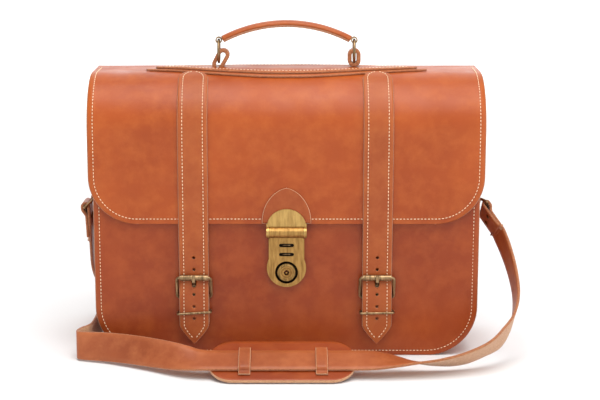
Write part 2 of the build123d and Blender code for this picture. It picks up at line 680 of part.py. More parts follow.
def strap_points():
    """The whole route: both ends led straight off their rings, with the listed points between."""
    lead = 9.0
    first, wide_1, way_1 = strap_end("right")
    last, wide_2, way_2 = strap_end("left")
    begin = [(tuple(first), tuple(wide_1)), (tuple(first + way_1 * lead), tuple(wide_1))]
    finish = [(tuple(last + way_2 * lead), tuple(wide_2)), (tuple(last), tuple(wide_2))]
    return begin + STRAP_ROUTE + finish


def strap_frame(t):
    """The strap's centre, its width direction and the direction out of its face, at t."""
    route = strap_points()
    centres = [c for c, _ in route]
    widths = [w for _, w in route]
    step = 1e-3
    ahead = Vector(*blend_spline(centres, min(t + step, 1)))
    behind = Vector(*blend_spline(centres, max(t - step, 0)))
    heading = (ahead - behind).normalized()
    width = Vector(*blend_spline(widths, t))
    width = (width - heading * width.dot(heading)).normalized()
    return Vector(*blend_spline(centres, t)), width, heading.cross(width)


def ribbon(frames, width, thickness):
    """A closed solid of flat faces along a row of frames."""
    rings = []
    for centre, across_it, out in frames:
        w, n = across_it * (width / 2), out * (thickness / 2)
        rings.append([centre - w - n, centre + w - n, centre + w + n, centre - w + n])
    faces = [Face(Wire.make_polygon(rings[0])), Face(Wire.make_polygon(rings[-1][::-1]))]
    for one, two in zip(rings, rings[1:]):
        for i in range(4):
            j = (i + 1) % 4
            faces.append(Face(Wire.make_polygon([one[i], two[i], two[j]])))
            faces.append(Face(Wire.make_polygon([one[i], two[j], one[j]])))
    return Solid(Shell(faces))


def shoulder_strap():
    frames = [strap_frame(i / STRAP_STEPS) for i in range(STRAP_STEPS + 1)]
    return ribbon(frames, STRAP_WIDTH, STRAP_LEATHER)


def strap_fold(side):
    """The strap's end round the ring's bar and back along its flesh side."""
    plane = fold_plane(side)
    bore = D_WIRE + 0.45
    outer = bore + STRAP_LEATHER
    sign = SIDES[side]
    end = 34.0
    loop = Circle(outer) - Circle(bore)
    back = Pos(end / 2, -sign * (bore + STRAP_LEATHER / 2)) * Rectangle(end, STRAP_LEATHER)
    middle = sign * (bore + STRAP_LEATHER / 2)
    front = Pos(FOLD_RUN / 2, middle) * Rectangle(FOLD_RUN, STRAP_LEATHER)
    profile = loop - Pos(outer / 2 + 0.01, 0) * Rectangle(outer, 2 * bore - 0.4) + back + front
    section = Plane(origin=plane.origin, x_dir=plane.y_dir, z_dir=plane.x_dir)
    fold = extrude(section * profile, amount=STRAP_WIDTH / 2 - 1.7, both=True)
    for x in (-7, 7):
        fold -= plane * Pos(x, RIVET_DOWN, 0) * Cylinder(1.2, 30)
    return fold


def strap_rivets():
    """Two rivets through both layers of each fold."""
    made = []
    reach = D_WIRE + 0.45 + STRAP_LEATHER
    for side in SIDES:
        plane = fold_plane(side)
        for x in (-7, 7):
            rivet = Cylinder(1.15, 2 * reach + 0.4)
            for z in (-1, 1):
                rivet += Pos(0, 0, z * (reach + 0.4)) * Cylinder(2.5, 0.7)
            made.append(plane * Pos(x, RIVET_DOWN, 0) * rivet)
    return made


def d_ring(side):
    """A straight bar in the strap's fold and an arc through the leather tab."""
    bar, apex = (RIGHT_BAR, RIGHT_APEX) if side == "right" else (LEFT_BAR, LEFT_APEX)
    width = fold_plane(side).x_dir
    reach = Vector(*apex) - Vector(*bar)
    reach = reach - width * reach.dot(width)
    plane = Plane(origin=bar, x_dir=width, z_dir=width.cross(reach.normalized()))
    arc = ThreePointArc((-D_HALF, 0), (0, reach.length), (D_HALF, 0))
    tube = sweep(Plane(origin=arc @ 0, z_dir=arc % 0) * Circle(D_WIRE), path=arc)
    straight = Rot(0, 90, 0) * Cylinder(D_WIRE, 2 * D_HALF)
    ring = tube + straight
    for x in (-D_HALF, D_HALF):
        ring += Pos(x, 0, 0) * Sphere(D_WIRE)
    return plane * ring


def pad_plane():
    tilt = math.radians(PAD_TILT)
    return Plane(
        origin=PAD_CENTRE, x_dir=(1, 0, 0), z_dir=(0, -math.sin(tilt), math.cos(tilt))
    )


def shoulder_pad():
    shape = fillet(Rectangle(PAD_LENGTH, PAD_WIDTH).vertices(), PAD_ROUND)
    return pad_plane() * extrude(shape, amount=PAD_LEATHER)


def pad_bridge(side):
    """A leather bridge over the strap, closed down to the pad on both sides."""
    gap, leather, rise = 16.2, 2.0, 4.0
    foot = 4.5
    middle = -2.3  # the strap runs a little forward of the pad's middle
    low = PAD_LEATHER + 0.02
    outer = Pos(middle, low + (rise + leather) / 2) * Rectangle(2 * gap + 2 * leather, rise + leather)
    outer += Pos(middle, low + leather / 2) * Rectangle(2 * (gap + leather + foot), leather)
    inner = Pos(middle, low + rise / 2) * Rectangle(2 * gap, rise)
    section = Plane.YZ * (outer - inner)
    place = pad_plane() * Pos(BRIDGE_X[side], 0, 0)
    return place * extrude(section, amount=BRIDGE_WIDTH / 2, both=True)


def build():
    parts = {
        "back_panel": back_panel(),
        "front_panel": front_panel(),
        "gusset": gusset(),
        "chape_rivets": Compound(chape_rivets()),
        "tab_rivets": Compound(tab_rivets()),
        "strap_rivets": Compound(strap_rivets()),
        "lock_boss": lock_boss(),
        "lock_nut": lock_nut(),
        "lock_bolt": lock_bolt(),
        "lock_plug": lock_plug(),
        "lock_clip": lock_clip(),
        "lock_patch": lock_patch(),
        "lock_head": lock_head(),
        "lock_pin": lock_pin(),
        "lock_hasp": lock_hasp(),
        "flap_panel": flap_panel(),
        "handle_plate_lower": handle_plate(PLATE_HALF, PLATE_DEPTH, SEAM, 2.25),
        "handle_plate_upper": handle_plate(PLATE_HALF - 9, PLATE_DEPTH - 4, 2.3, 4.5),
        "handle_grip": handle_grip(),
        "handle_core": handle_core(),
        "shoulder_strap": shoulder_strap(),
        "shoulder_pad": shoulder_pad(),
    }
    for side in SIDES:
        parts[f"chape_{side}"] = chape(side)
        parts[f"side_tab_{side}"] = side_tab(side)
        parts[f"band_{side}"] = band(side)
        parts[f"tail_{side}"] = tail(side)
        parts[f"handle_anchor_{side}"] = handle_anchor(side)
        parts[f"buckle_frame_{side}"] = buckle_frame(side)
        parts[f"buckle_roller_{side}"] = buckle_roller(side)
        parts[f"buckle_prong_{side}"] = buckle_prong(side)
        parts[f"keeper_{side}"] = keeper(side)
        parts[f"handle_ring_{side}"] = handle_ring(side)
        parts[f"handle_clip_{side}"] = handle_clip(side)
        parts[f"d_ring_{side}"] = d_ring(side)
        parts[f"strap_fold_{side}"] = strap_fold(side)
        parts[f"pad_bridge_{side}"] = pad_bridge(side)
    return parts


def main():
    os.makedirs("parts", exist_ok=True)
    for name, shape in build().items():
        export_step(shape, f"parts/{name}.step")


if __name__ == "__main__":
    main()
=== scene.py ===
import bpy
import math
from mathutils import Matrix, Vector, noise
import bmesh


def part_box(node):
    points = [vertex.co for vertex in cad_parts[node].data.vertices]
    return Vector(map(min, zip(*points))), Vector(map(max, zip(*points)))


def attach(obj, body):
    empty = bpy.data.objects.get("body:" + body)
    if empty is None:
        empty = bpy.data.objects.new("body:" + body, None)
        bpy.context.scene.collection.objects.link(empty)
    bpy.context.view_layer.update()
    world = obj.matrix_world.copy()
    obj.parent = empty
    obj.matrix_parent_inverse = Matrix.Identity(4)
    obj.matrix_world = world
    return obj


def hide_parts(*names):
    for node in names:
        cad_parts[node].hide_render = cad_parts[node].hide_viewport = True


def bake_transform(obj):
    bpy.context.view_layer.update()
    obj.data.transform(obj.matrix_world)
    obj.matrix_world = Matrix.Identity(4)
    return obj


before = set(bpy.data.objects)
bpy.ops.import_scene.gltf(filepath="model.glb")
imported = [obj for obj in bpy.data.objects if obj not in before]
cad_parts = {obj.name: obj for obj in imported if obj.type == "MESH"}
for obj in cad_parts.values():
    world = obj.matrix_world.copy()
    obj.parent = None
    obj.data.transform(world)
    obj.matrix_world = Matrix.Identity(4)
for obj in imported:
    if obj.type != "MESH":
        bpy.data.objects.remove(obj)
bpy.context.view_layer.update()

MM = 0.001
SIDES = {"left": -1, "right": 1}
STITCH_PITCH = 3.5


def corner_box(node):
    """A CAD node's lowest and highest corner, in millimetres."""
    low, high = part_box(node)
    return Vector(low) / MM, Vector(high) / MM


def vec(*v):
    return Vector(v) * MM


# ---- camera ----
def make_camera():
    data = bpy.data.cameras.new("camera")
    cam = bpy.data.objects.new("camera", data)
    bpy.context.scene.collection.objects.link(cam)
    cam.location = (0.0, -1.565, 0.4727)
    cam.rotation_euler = (math.radians(78), 0, 0)
    data.lens = 93.1
    data.sensor_width = 36.0
    data.shift_x = 0.0225
    data.shift_y = 0.018
    data.clip_start, data.clip_end = 0.05, 30
    bpy.context.scene.camera = cam


make_camera()


# ---- node materials ----
def rgb(r, g, b):
    """An sRGB colour of 0 to 255 as the linear colour that the shader takes."""
    def one(c):
        c /= 255
        return c / 12.92 if c <= 0.04045 else ((c + 0.055) / 1.055) ** 2.4
    return (one(r), one(g), one(b), 1.0)


class Nodes:
    """A material's node tree, with short calls for the nodes used here."""

    def __init__(self, name):
        self.mat = bpy.data.materials.new(name)
        self.mat.use_nodes = True
        self.tree = self.mat.node_tree
        self.shader = self.tree.nodes["Principled BSDF"]

    def add(self, kind, **props):
        node = self.tree.nodes.new(kind)
        for key, value in props.items():
            setattr(node, key, value)
        return node

    def link(self, a, b):
        self.tree.links.new(a, b)

    def coords(self, stretch=(1, 1, 1)):
        mapping = self.add("ShaderNodeMapping")
        mapping.inputs["Scale"].default_value = stretch
        self.link(self.add("ShaderNodeTexCoord").outputs["Object"], mapping.inputs["Vector"])
        return mapping.outputs["Vector"]

    def noise(self, where, scale, detail=4, rough=0.55):
        node = self.add("ShaderNodeTexNoise")
        node.inputs["Scale"].default_value = scale
        node.inputs["Detail"].default_value = detail
        node.inputs["Roughness"].default_value = rough
        self.link(where, node.inputs["Vector"])
        return node.outputs["Fac"]

    def cells(self, where, scale, feature="F1"):
        node = self.add("ShaderNodeTexVoronoi", feature=feature)
        node.inputs["Scale"].default_value = scale
        self.link(where, node.inputs["Vector"])
        return node.outputs["Distance"]

    def spread(self, value, low, high, to_low=0.0, to_high=1.0):
        node = self.add("ShaderNodeMapRange")
        for key, v in zip(("From Min", "From Max", "To Min", "To Max"), (low, high, to_low, to_high)):
            node.inputs[key].default_value = v
        self.link(value, node.inputs["Value"])
        return node.outputs["Result"]

    def mix(self, factor, a, b):
        node = self.add("ShaderNodeMix", data_type="RGBA")
        for socket, value in ((node.inputs[6], a), (node.inputs[7], b)):
            if isinstance(value, tuple):
                socket.default_value = value
            else:
                self.link(value, socket)
        self.link(factor, node.inputs[0])
        return node.outputs[2]

    def times(self, a, b):
        node = self.add("ShaderNodeMath", operation="MULTIPLY")
        self.link(a, node.inputs[0])
        if isinstance(b, float):
            node.inputs[1].default_value = b
        else:
            self.link(b, node.inputs[1])
        return node.outputs[0]

    def bump(self, height, strength, distance, under=None):
        node = self.add("ShaderNodeBump")
        node.inputs["Strength"].default_value = strength
        node.inputs["Distance"].default_value = distance
        self.link(height, node.inputs["Height"])
        if under is not None:
            self.link(under, node.inputs["Normal"])
        return node.outputs["Normal"]

    def set(self, **values):
        for key, value in values.items():
            self.shader.inputs[key.replace("_", " ")].default_value = value


def grain_leather(name, mid, dark, light):
    """Grain side: cloudy colour, mottling, faint streaks, worn edges, pores and creases."""
    n = Nodes(name)
    at = n.coords()
    cloud = n.spread(n.noise(at, 9, 5), 0.36, 0.66)
    mottle = n.spread(n.noise(at, 55, 6, 0.65), 0.42, 0.70)
    streak = n.spread(n.noise(n.coords((3, 22, 9)), 3.0, 4, 0.6), 0.55, 0.78)
    wear = n.spread(n.add("ShaderNodeNewGeometry").outputs["Pointiness"], 0.505, 0.56)
    colour = n.mix(cloud, dark, mid)
    colour = n.mix(n.times(mottle, 0.45), colour, light)
    colour = n.mix(n.times(streak, 0.25), colour, dark)
    n.link(n.mix(n.times(wear, 0.35), colour, light), n.shader.inputs["Base Color"])
    n.link(n.spread(n.noise(at, 40, 4), 0.3, 0.7, 0.36, 0.52), n.shader.inputs["Roughness"])
    pores = n.bump(n.cells(at, 900), 0.16, 0.00025)
    crease = n.bump(n.noise(at, 260, 6, 0.6), 0.20, 0.0005, pores)
    n.link(n.bump(n.noise(at, 16, 3), 0.16, 0.003, crease), n.shader.inputs["Normal"])
    n.set(Coat_Weight=0.08, Coat_Roughness=0.25, Specular_IOR_Level=0.3)
    return n.mat


def raw_leather(name, light, dark):
    """The fibrous flesh side and the cut edges."""
    n = Nodes(name)
    at = n.coords()
    fibre = n.spread(n.noise(n.coords((1, 1, 4)), 420, 6, 0.7), 0.35, 0.65)
    n.link(n.mix(fibre, dark, light), n.shader.inputs["Base Color"])
    n.link(n.spread(n.noise(at, 200, 4), 0.3, 0.7, 0.7, 0.92), n.shader.inputs["Roughness"])
    n.link(n.bump(fibre, 0.35, 0.0005), n.shader.inputs["Normal"])
    n.set(Sheen_Weight=0.25, Sheen_Roughness=0.6, Specular_IOR_Level=0.2)
    return n.mat


def thread(name, light, dark):
    n = Nodes(name)
    twist = n.spread(n.noise(n.coords((3, 3, 3)), 900, 3), 0.35, 0.65)
    n.link(n.mix(twist, dark, light), n.shader.inputs["Base Color"])
    n.link(n.bump(twist, 0.4, 0.0002), n.shader.inputs["Normal"])
    n.set(Roughness=0.75, Sheen_Weight=0.2)
    return n.mat


def aged_brass(name, bright, dull, gloss, shaded_recess=None):
    """Brushed brass with patina in its creases; an optional last pair gives (lit y, fully shaded y): painted
    shade that darkens the parts lying deeper.
    """
    n = Nodes(name)
    at = n.coords()
    patina = n.spread(n.noise(n.coords((1.6, 1, 0.25)), 260, 5, 0.6), 0.30, 0.62)
    crease = n.spread(n.add("ShaderNodeNewGeometry").outputs["Pointiness"], 0.44, 0.52)
    unpatinated_and_lit = n.times(patina, crease)
    if shaded_recess is not None:
        # painted shade: the deeper the surface lies along y, the closer it goes to the dull colour
        place = n.add("ShaderNodeSeparateXYZ")
        n.link(at, place.inputs[0])
        unpatinated_and_lit = n.times(unpatinated_and_lit, n.spread(place.outputs["Y"], *shaded_recess))
    n.link(n.mix(unpatinated_and_lit, dull, bright), n.shader.inputs["Base Color"])
    n.link(n.spread(n.noise(at, 90, 4), 0.3, 0.7, gloss[1], gloss[0]), n.shader.inputs["Roughness"])
    brushed = n.noise(n.coords((1, 1, 0.03)), 2600, 3)
    n.link(n.bump(brushed, 0.12, 0.0002), n.shader.inputs["Normal"])
    n.set(Metallic=1.0)
    return n.mat


BODY = grain_leather("body_leather", rgb(168, 75, 20), rgb(150, 62, 14), rgb(186, 97, 36))
# painted shade: a darker copy of the body leather, used for the front panel and the pad
FRONT_SHADED = grain_leather("front_leather_painted_shade", rgb(150, 62, 17), rgb(134, 51, 12), rgb(172, 84, 32))
BAND = grain_leather("band_leather", rgb(163, 78, 30), rgb(146, 65, 22), rgb(182, 100, 46))
STRAP = grain_leather("strap_leather", rgb(166, 86, 44), rgb(142, 68, 32), rgb(190, 112, 66))
RAW = raw_leather("raw_leather", rgb(210, 164, 124), rgb(172, 118, 80))
EDGE = raw_leather("cut_edge", rgb(188, 122, 78), rgb(136, 76, 44))
LINING = raw_leather("flesh_side", rgb(168, 108, 70), rgb(132, 78, 48))
THREAD = thread("cream_thread", rgb(250, 234, 204), rgb(222, 192, 148))
BRASS = aged_brass("antique_brass", rgb(176, 146, 108), rgb(84, 64, 44), (0.34, 0.5))
LOCK = aged_brass("lock_brass", rgb(182, 142, 82), rgb(138, 102, 56), (0.42, 0.54))
HEAD = aged_brass("lock_head_brass", rgb(198, 162, 98), rgb(158, 122, 70), (0.40, 0.5))
# painted shade: the near-black dull colour darkens everything behind y = -49.8 mm, the gap round the lock's
# cylinder; the creases share that colour as patina
BOSS = aged_brass("boss_brass_painted_recess_shade", rgb(182, 144, 86), rgb(26, 18, 12), (0.4, 0.55), (-0.0498, -0.0522))
DARK = aged_brass("dark_brass", rgb(120, 92, 58), rgb(48, 36, 26), (0.3, 0.5))
# painted shade: a near-black sheet set in the depth of the hasp's slots
SHADE = aged_brass("slot_painted_shade", rgb(34, 28, 24), rgb(20, 16, 14), (0.4, 0.6))


# ---- mesh helpers ----
def add_mesh(name, verts, faces, mats, index=None, smooth=True):
    mesh = bpy.data.meshes.new(name)
    mesh.from_pydata([tuple(v) for v in verts], [], faces)
    for mat in mats:
        mesh.materials.append(mat)
    for i, poly in enumerate(mesh.polygons):
        poly.use_smooth = smooth
        if index is not None:
            poly.material_index = index[i]
    mesh.update()
    obj = bpy.data.objects.new(name, mesh)
    bpy.context.scene.collection.objects.link(obj)
    return obj


def tube_faces(base, rings, steps):
    """Quads between rings of vertices that follow one another, and a cap at each end."""
    faces = []
    for first in range(base, base + (rings - 1) * steps, steps):
        for k in range(steps):
            a, b = first + k, first + (k + 1) % steps
            faces.append((a, b, b + steps, a + steps))
    last = base + (rings - 1) * steps
    return faces + [tuple(range(base + steps - 1, base - 1, -1)), tuple(range(last, last + steps))]


def unit(v):
    return v.normalized() if v.length > 1e-12 else Vector((0, 0, 1))


def plate(name, grid, normals, thickness, mats, bulge=0.32):
    """A sheet with both faces and a rounded rim, from rows of middle points and their normals."""
    rows, cols = len(grid), len(grid[0])
    half = thickness / 2
    verts, faces, index = [], [], []
    front = [[2 * (i * cols + j) for j in range(cols)] for i in range(rows)]
    back = [[at + 1 for at in row] for row in front]
    for i in range(rows):
        for j in range(cols):
            verts.append(grid[i][j] + normals[i][j] * half)
            verts.append(grid[i][j] - normals[i][j] * half)
    for i in range(rows - 1):
        for j in range(cols - 1):
            faces.append((front[i][j], front[i][j + 1], front[i + 1][j + 1], front[i + 1][j]))
            faces.append((back[i][j], back[i + 1][j], back[i + 1][j + 1], back[i][j + 1]))
            index += [0, 1]
    ring = [(0, j) for j in range(cols)] + [(i, cols - 1) for i in range(1, rows)]
    ring += [(rows - 1, j) for j in range(cols - 2, -1, -1)] + [(i, 0) for i in range(rows - 2, 0, -1)]
    middle = {}
    for i, j in ring:
        out = grid[i][j] - grid[min(max(i, 1), rows - 2)][min(max(j, 1), cols - 2)]
        out = unit(out - normals[i][j] * out.dot(normals[i][j]))
        middle[(i, j)] = len(verts)
        verts.append(grid[i][j] + out * thickness * bulge)
    for a, b in zip(ring, ring[1:] + ring[:1]):
        fa, fb, ba, bb = front[a[0]][a[1]], front[b[0]][b[1]], back[a[0]][a[1]], back[b[0]][b[1]]
        faces.append((fb, fa, middle[a], middle[b]))
        faces.append((middle[b], middle[a], ba, bb))
        index += [2, 2]
    return add_mesh(name, verts, faces, mats, index)


def fit_normals(obj):
    """Makes all the faces of a closed mesh point outwards."""
    bm = bmesh.new()
    bm.from_mesh(obj.data)
    bmesh.ops.remove_doubles(bm, verts=bm.verts, dist=1e-6)
    bmesh.ops.recalc_face_normals(bm, faces=bm.faces)
    bm.to_mesh(obj.data)
    bm.free()
    return obj


def stitches(name, line, body, pitch=STITCH_PITCH, size=(1.15, 0.42)):
    """Raised stitches along a line of (point, normal) in metres; size is half length and radius."""
    length, radius = size[0] * MM, size[1] * MM
    gone = [0.0]
    for (p, _), (q, _) in zip(line, line[1:]):
        gone.append(gone[-1] + (q - p).length)
    count = max(int(gone[-1] / (pitch * MM)), 1)
    verts, faces = [], []
    sections = [(-1.0, 0.25), (-0.6, 0.85), (0.0, 1.0), (0.6, 0.85), (1.0, 0.25)]
    k = 0
    for number in range(count):
        s = (number + 0.5) * gone[-1] / count
        while gone[k + 1] < s:
            k += 1
        f = (s - gone[k]) / max(gone[k + 1] - gone[k], 1e-9)
        p = line[k][0].lerp(line[k + 1][0], f)
        n = unit(line[k][1].lerp(line[k + 1][1], f))
        along = unit(line[k + 1][0] - line[k][0])
        side = n.cross(along)
        base = len(verts)
        for a, r in sections:
            dip = n * (-0.5 * radius if abs(a) == 1 else 0.1 * radius)
            for step in range(6):
                angle = step * math.pi / 3
                around = side * math.cos(angle) + n * math.sin(angle)
                verts.append(p + dip + along * (a * length) + around * (r * radius))
        faces += tube_faces(base, len(sections), 6)
    obj = add_mesh(name, verts, faces, [THREAD])
    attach(obj, body)


def bend_line(points, rounds=3):
    """A given line of 2-D points with its corners eased."""
    for _ in range(rounds):
        eased = [points[0]]
        for a, b in zip(points, points[1:]):
            eased.append((a[0] * 0.75 + b[0] * 0.25, a[1] * 0.75 + b[1] * 0.25))
            eased.append((a[0] * 0.25 + b[0] * 0.75, a[1] * 0.25 + b[1] * 0.75))
        points = eased + [points[-1]]
    return points


# ---- sizes taken from the frame ----
FLAP_LOW, FLAP_HIGH = corner_box("flap_panel")
FRONT_LOW, FRONT_HIGH = corner_box("front_panel")
BACK_LOW, BACK_HIGH = corner_box("back_panel")
FLAP_HALF = FLAP_HIGH.x
BODY_HALF = FRONT_HIGH.x
TOP = FLAP_HIGH.z
FRONT_FACE = FRONT_LOW.y
OUTER_Y = FLAP_LOW.y
ROUND = 55.0  # the flap's bend over the front
FLAP_SKIN, PANEL_SKIN, STRIP_SKIN = 3.2, 2.8, 2.9
SEAM_INSET = 5.0
EDGE_Z = FLAP_LOW.z
TOP_RUN = FLAP_HIGH.y - (OUTER_Y + ROUND)
ARC_RUN = ROUND * math.pi / 2
DROP_RUN = TOP - ROUND - EDGE_Z
FLAP_RUN = TOP_RUN + ARC_RUN + DROP_RUN
BODY_ROUND, FLAP_CORNER = 50.0, 47.0
FOOT = 0.3  # the panels end just above the floor
BAND_X = {side: (corner_box(f"band_{side}")[0].x + corner_box(f"band_{side}")[1].x) / 2 for side in SIDES}
BAND_HALF, PATCH_HALF = 14.3, 24.5
BAND_RISE = 1.55  # the band's middle layer above the flap's face
TAIL_TIP, TAIL_TAPER = corner_box("tail_left")[0].z, 19.0
LOCK_FACE = FRONT_FACE - 5.0


def corner_reach(half, r, d):
    """Half the width of a sheet with corners of radius r, d in from its end."""
    return half - r + math.sqrt(max(r**2 - (r - d) ** 2, 0))


def flap_at(s, off=0.0):
    """(y, z) and the outward (y, z) on the flap, s along it from the back edge, off above its face."""
    cy, cz = OUTER_Y + ROUND, TOP - ROUND
    if s <= TOP_RUN:
        return (FLAP_HIGH.y - s, TOP + off), (0.0, 1.0)
    if s <= TOP_RUN + ARC_RUN:
        a = (s - TOP_RUN) / ROUND
        out = (-math.sin(a), math.cos(a))
        return (cy + out[0] * (ROUND + off), cz + out[1] * (ROUND + off)), out
    return (OUTER_Y - off, cz - (s - TOP_RUN - ARC_RUN)), (-1.0, 0.0)


def ripple(x, y, z):
    """How far the flap's leather stands proud or dips, in millimetres; still under the hardware."""
    near_lock = math.exp(-((x / 42) ** 4)) * (1 if z < 200 else 0)
    near_ring = math.exp(-(((abs(x) - 68) / 30) ** 4)) * (1 if z > 275 else 0)
    soft = noise.noise(Vector((x * 0.011, y * 0.012 + 3.7, z * 0.012))) * 0.9
    soft += noise.noise(Vector((x * 0.03, y * 0.03, z * 0.03 + 8.1))) * 0.25
    return soft * (1 - near_lock) * (1 - near_ring)


def on_flap(x, s, off):
    (y, z), (ny, nz) = flap_at(s, off)
    lift = ripple(x, y, z)
    return vec(x, y + ny * lift, z + nz * lift), Vector((0, ny, nz))


def rows_between(a, b, count):
    return [a + (b - a) * i / count for i in range(count + 1)]


# ---- the shoulder strap: a free cord, so it comes first ----
ROUTE = [
    ((217.5, -7.0, 121.0), (-0.19, 0.76, -0.62)),
    ((225.0, -20.0, 103.0), (-0.16, 0.79, -0.58)),
    ((231.0, -35.0, 81.0), (-0.12, 0.88, -0.45)),
    ((233.0, -49.5, 61.0), (-0.05, 0.94, -0.33)),
    ((228.5, -63.5, 43.5), (0.12, 0.94, -0.31)),
    ((219.0, -78.0, 32.0), (0.37, 0.90, -0.23)),
    ((206.5, -93.0, 25.5), (0.54, 0.82, -0.17)),
    ((190.0, -102.5, 19.0), (0.54, 0.79, -0.30)),
    ((171.0, -109.5, 14.3), (0.48, 0.76, -0.44)),
    ((148.0, -114.0, 12.6), (0.38, 0.83, -0.41)),
    ((125.0, -115.3, 13.0), (0.12, 0.94, -0.28)),
    ((104.0, -116.6, 15.2), (0.05, 0.99, 0.10)),
    ((84.0, -117.6, 16.2), (0.0, 0.927, 0.375)),
    ((60.0, -117.5, 16.0), (0.0, 0.927, 0.375)),
    ((20.0, -117.6, 16.0), (0.0, 0.927, 0.375)),
    ((-25.0, -117.6, 16.0), (0.0, 0.927, 0.375)),
    ((-64.0, -117.6, 16.0), (0.0, 0.927, 0.375)),
    ((-88.0, -117.4, 16.2), (0.0, 0.917, 0.40)),
    ((-107.0, -109.5, 16.8), (0.10, 0.72, 0.68)),
    ((-130.0, -96.5, 17.0), (0.12, 0.52, 0.84)),
    ((-158.0, -82.0, 16.8), (0.10, 0.38, 0.92)),
    ((-183.0, -72.5, 16.3), (0.05, 0.20, 0.97)),
    ((-201.0, -69.0, 16.0), (0.0, 0.06, 1.0)),
    ((-211.5, -66.0, 16.0), (0.0, 0.0, 1.0)),
    ((-209.0, -53.0, 16.0), (0.0, 0.0, 1.0)),
    ((-200.5, -42.0, 16.0), (0.0, 0.0, 1.0)),
    ((-198.0, -27.0, 16.0), (0.0, 0.0, 1.0)),
    ((-197.6, 5.0, 16.0), (0.0, 0.0, 1.0)),
    ((-198.0, 40.0, 16.2), (0.0, 0.03, 1.0)),
    ((-200.5, 68.0, 17.5), (0.0, 0.06, 1.0)),
    ((-206.0, 88.0, 19.5), (0.0, 0.08, 0.99)),
    ((-203.0, 104.0, 23.0), (-0.10, 0.10, 0.98)),
    ((-194.0, 106.0, 30.0), (-0.20, 0.15, 0.95)),
    ((-194.0, 92.0, 42.0), (-0.10, 0.50, 0.86)),
    ((-203.0, 72.0, 56.0), (0.0, 0.66, 0.75)),
    ((-206.5, 50.0, 76.0), (0.0, 0.74, 0.67)),
    ((-205.0, 31.0, 97.0), (0.0, 0.86, 0.50)),
    ((-203.0, 15.0, 119.0), (0.0, 0.97, 0.22)),
]
STRAP_WIDTH, STRAP_SKIN, RING_WIRE = 29.0, 2.6, 1.5
FOLD_REACH = RING_WIRE + 0.45 + STRAP_SKIN / 2  # from the bar's centre to the middle of the leather
BARS = {
    "right": (Vector((205.4, 6.9, 139.9)), Vector((0.0, 0.775, -0.632)), Vector((0.49, -0.54, -0.68))),
    "left": (Vector((-206.6, 6.6, 145.5)), Vector((0.0, 1.0, -0.02)), Vector((0.05, 0.0, -1.0))),
}


def strap_end(side):
    """The fold's frame: bar centre, width, way down the strap, and the side the strap lies on."""
    bar, width, down = BARS[side]
    width = width.normalized()
    down = (down - width * down.dot(width)).normalized()
    return bar, width, down, width.cross(down) * SIDES[side]


def full_route():
    ends = {}
    for side in SIDES:
        bar, width, down, beside = strap_end(side)
        start = bar + beside * FOLD_REACH + down * 16.2
        ends[side] = [(start, width), (start + down * 9.0, width)]
    middle = [(Vector(c), Vector(w)) for c, w in ROUTE]
    return ends["right"] + middle + ends["left"][::-1]


def spline_points(name, controls):
    """The points of a smooth NURBS line through free space, as Blender itself gives them."""
    curve = bpy.data.curves.new(name, "CURVE")
    curve.dimensions = "3D"
    curve.resolution_u = 10
    spline = curve.splines.new("NURBS")
    spline.points.add(len(controls) - 1)
    for point, at in zip(spline.points, controls):
        point.co = (*at, 1.0)
    spline.order_u = 3
    spline.use_endpoint_u = True
    obj = bpy.data.objects.new(name, curve)
    bpy.context.scene.collection.objects.link(obj)
    bpy.context.view_layer.update()
    mesh = bpy.data.meshes.new_from_object(obj)
    points = [v.co.copy() for v in mesh.vertices]
    bpy.data.objects.remove(obj)
    bpy.data.curves.remove(curve)
    bpy.data.meshes.remove(mesh)
    return points


def strap_frames():
    route = full_route()
    centre = spline_points("strap_line", [c * MM for c, _ in route])
    edge = spline_points("strap_edge", [(c + w.normalized() * 10) * MM for c, w in route])
    frames = []
    for i, (c, e) in enumerate(zip(centre, edge)):
        along = unit(centre[min(i + 1, len(centre) - 1)] - centre[max(i - 1, 0)])
        width = e - c
        width = unit(width - along * width.dot(along))
        frames.append((c, width, along.cross(width), along))
    return frames


def strip(name, frames, width, thickness, mats, closed=False):
    """A leather strip with eased edges; frames are (centre, width way, outward way, ...)."""
    half, skin = width / 2 * MM, thickness / 2 * MM
    ease = min(0.5 * MM, skin * 0.6)
    outline = [(half - ease, skin), (half, skin - ease), (half, -skin + ease), (half - ease, -skin)]
    under = [((half - ease) * (1 - 2 * i / 6), -skin) for i in range(1, 6)]
    over = [(-a, -b) for a, b in under]
    outline = outline + under + [(-a, -b) for a, b in outline] + over
    count = len(outline)
    kinds = []  # grain side, flesh side or cut edge
    for (_, b), (_, d) in zip(outline, outline[1:] + outline[:1]):
        kinds.append(0 if b == d == skin else 1 if b == d == -skin else 2)
    verts, faces, index = [], [], []
    for c, w, n, *_ in frames:
        verts += [c + w * a + n * b for a, b in outline]
    total = len(verts)
    for i in range(len(frames) if closed else len(frames) - 1):
        for j in range(count):
            a, b = i * count + j, i * count + (j + 1) % count
            faces.append((a, b, (b + count) % total, (a + count) % total))
            index.append(kinds[j])
    if not closed:
        faces.append(tuple(range(count - 1, -1, -1)))
        faces.append(tuple(total - count + j for j in range(count)))
        index += [2, 2]
    return fit_normals(add_mesh(name, verts, faces, mats, index))


def measured(frames):
    run = [0.0]
    for a, b in zip(frames, frames[1:]):
        run.append(run[-1] + (b[0] - a[0]).length)
    return run


END_RUN = 14.0 * MM
FRAMES = strap_frames()
RUN = measured(FRAMES)
FIRST = next(i for i, s in enumerate(RUN) if s > END_RUN)
LAST = next(i for i, s in enumerate(RUN) if s > RUN[-1] - END_RUN)
MIDDLE = FRAMES[FIRST:LAST + 1]
strap = strip("strap_middle", MIDDLE, STRAP_WIDTH, STRAP_SKIN, [RAW, STRAP, EDGE])
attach(strap, "bag")
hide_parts("shoulder_strap")


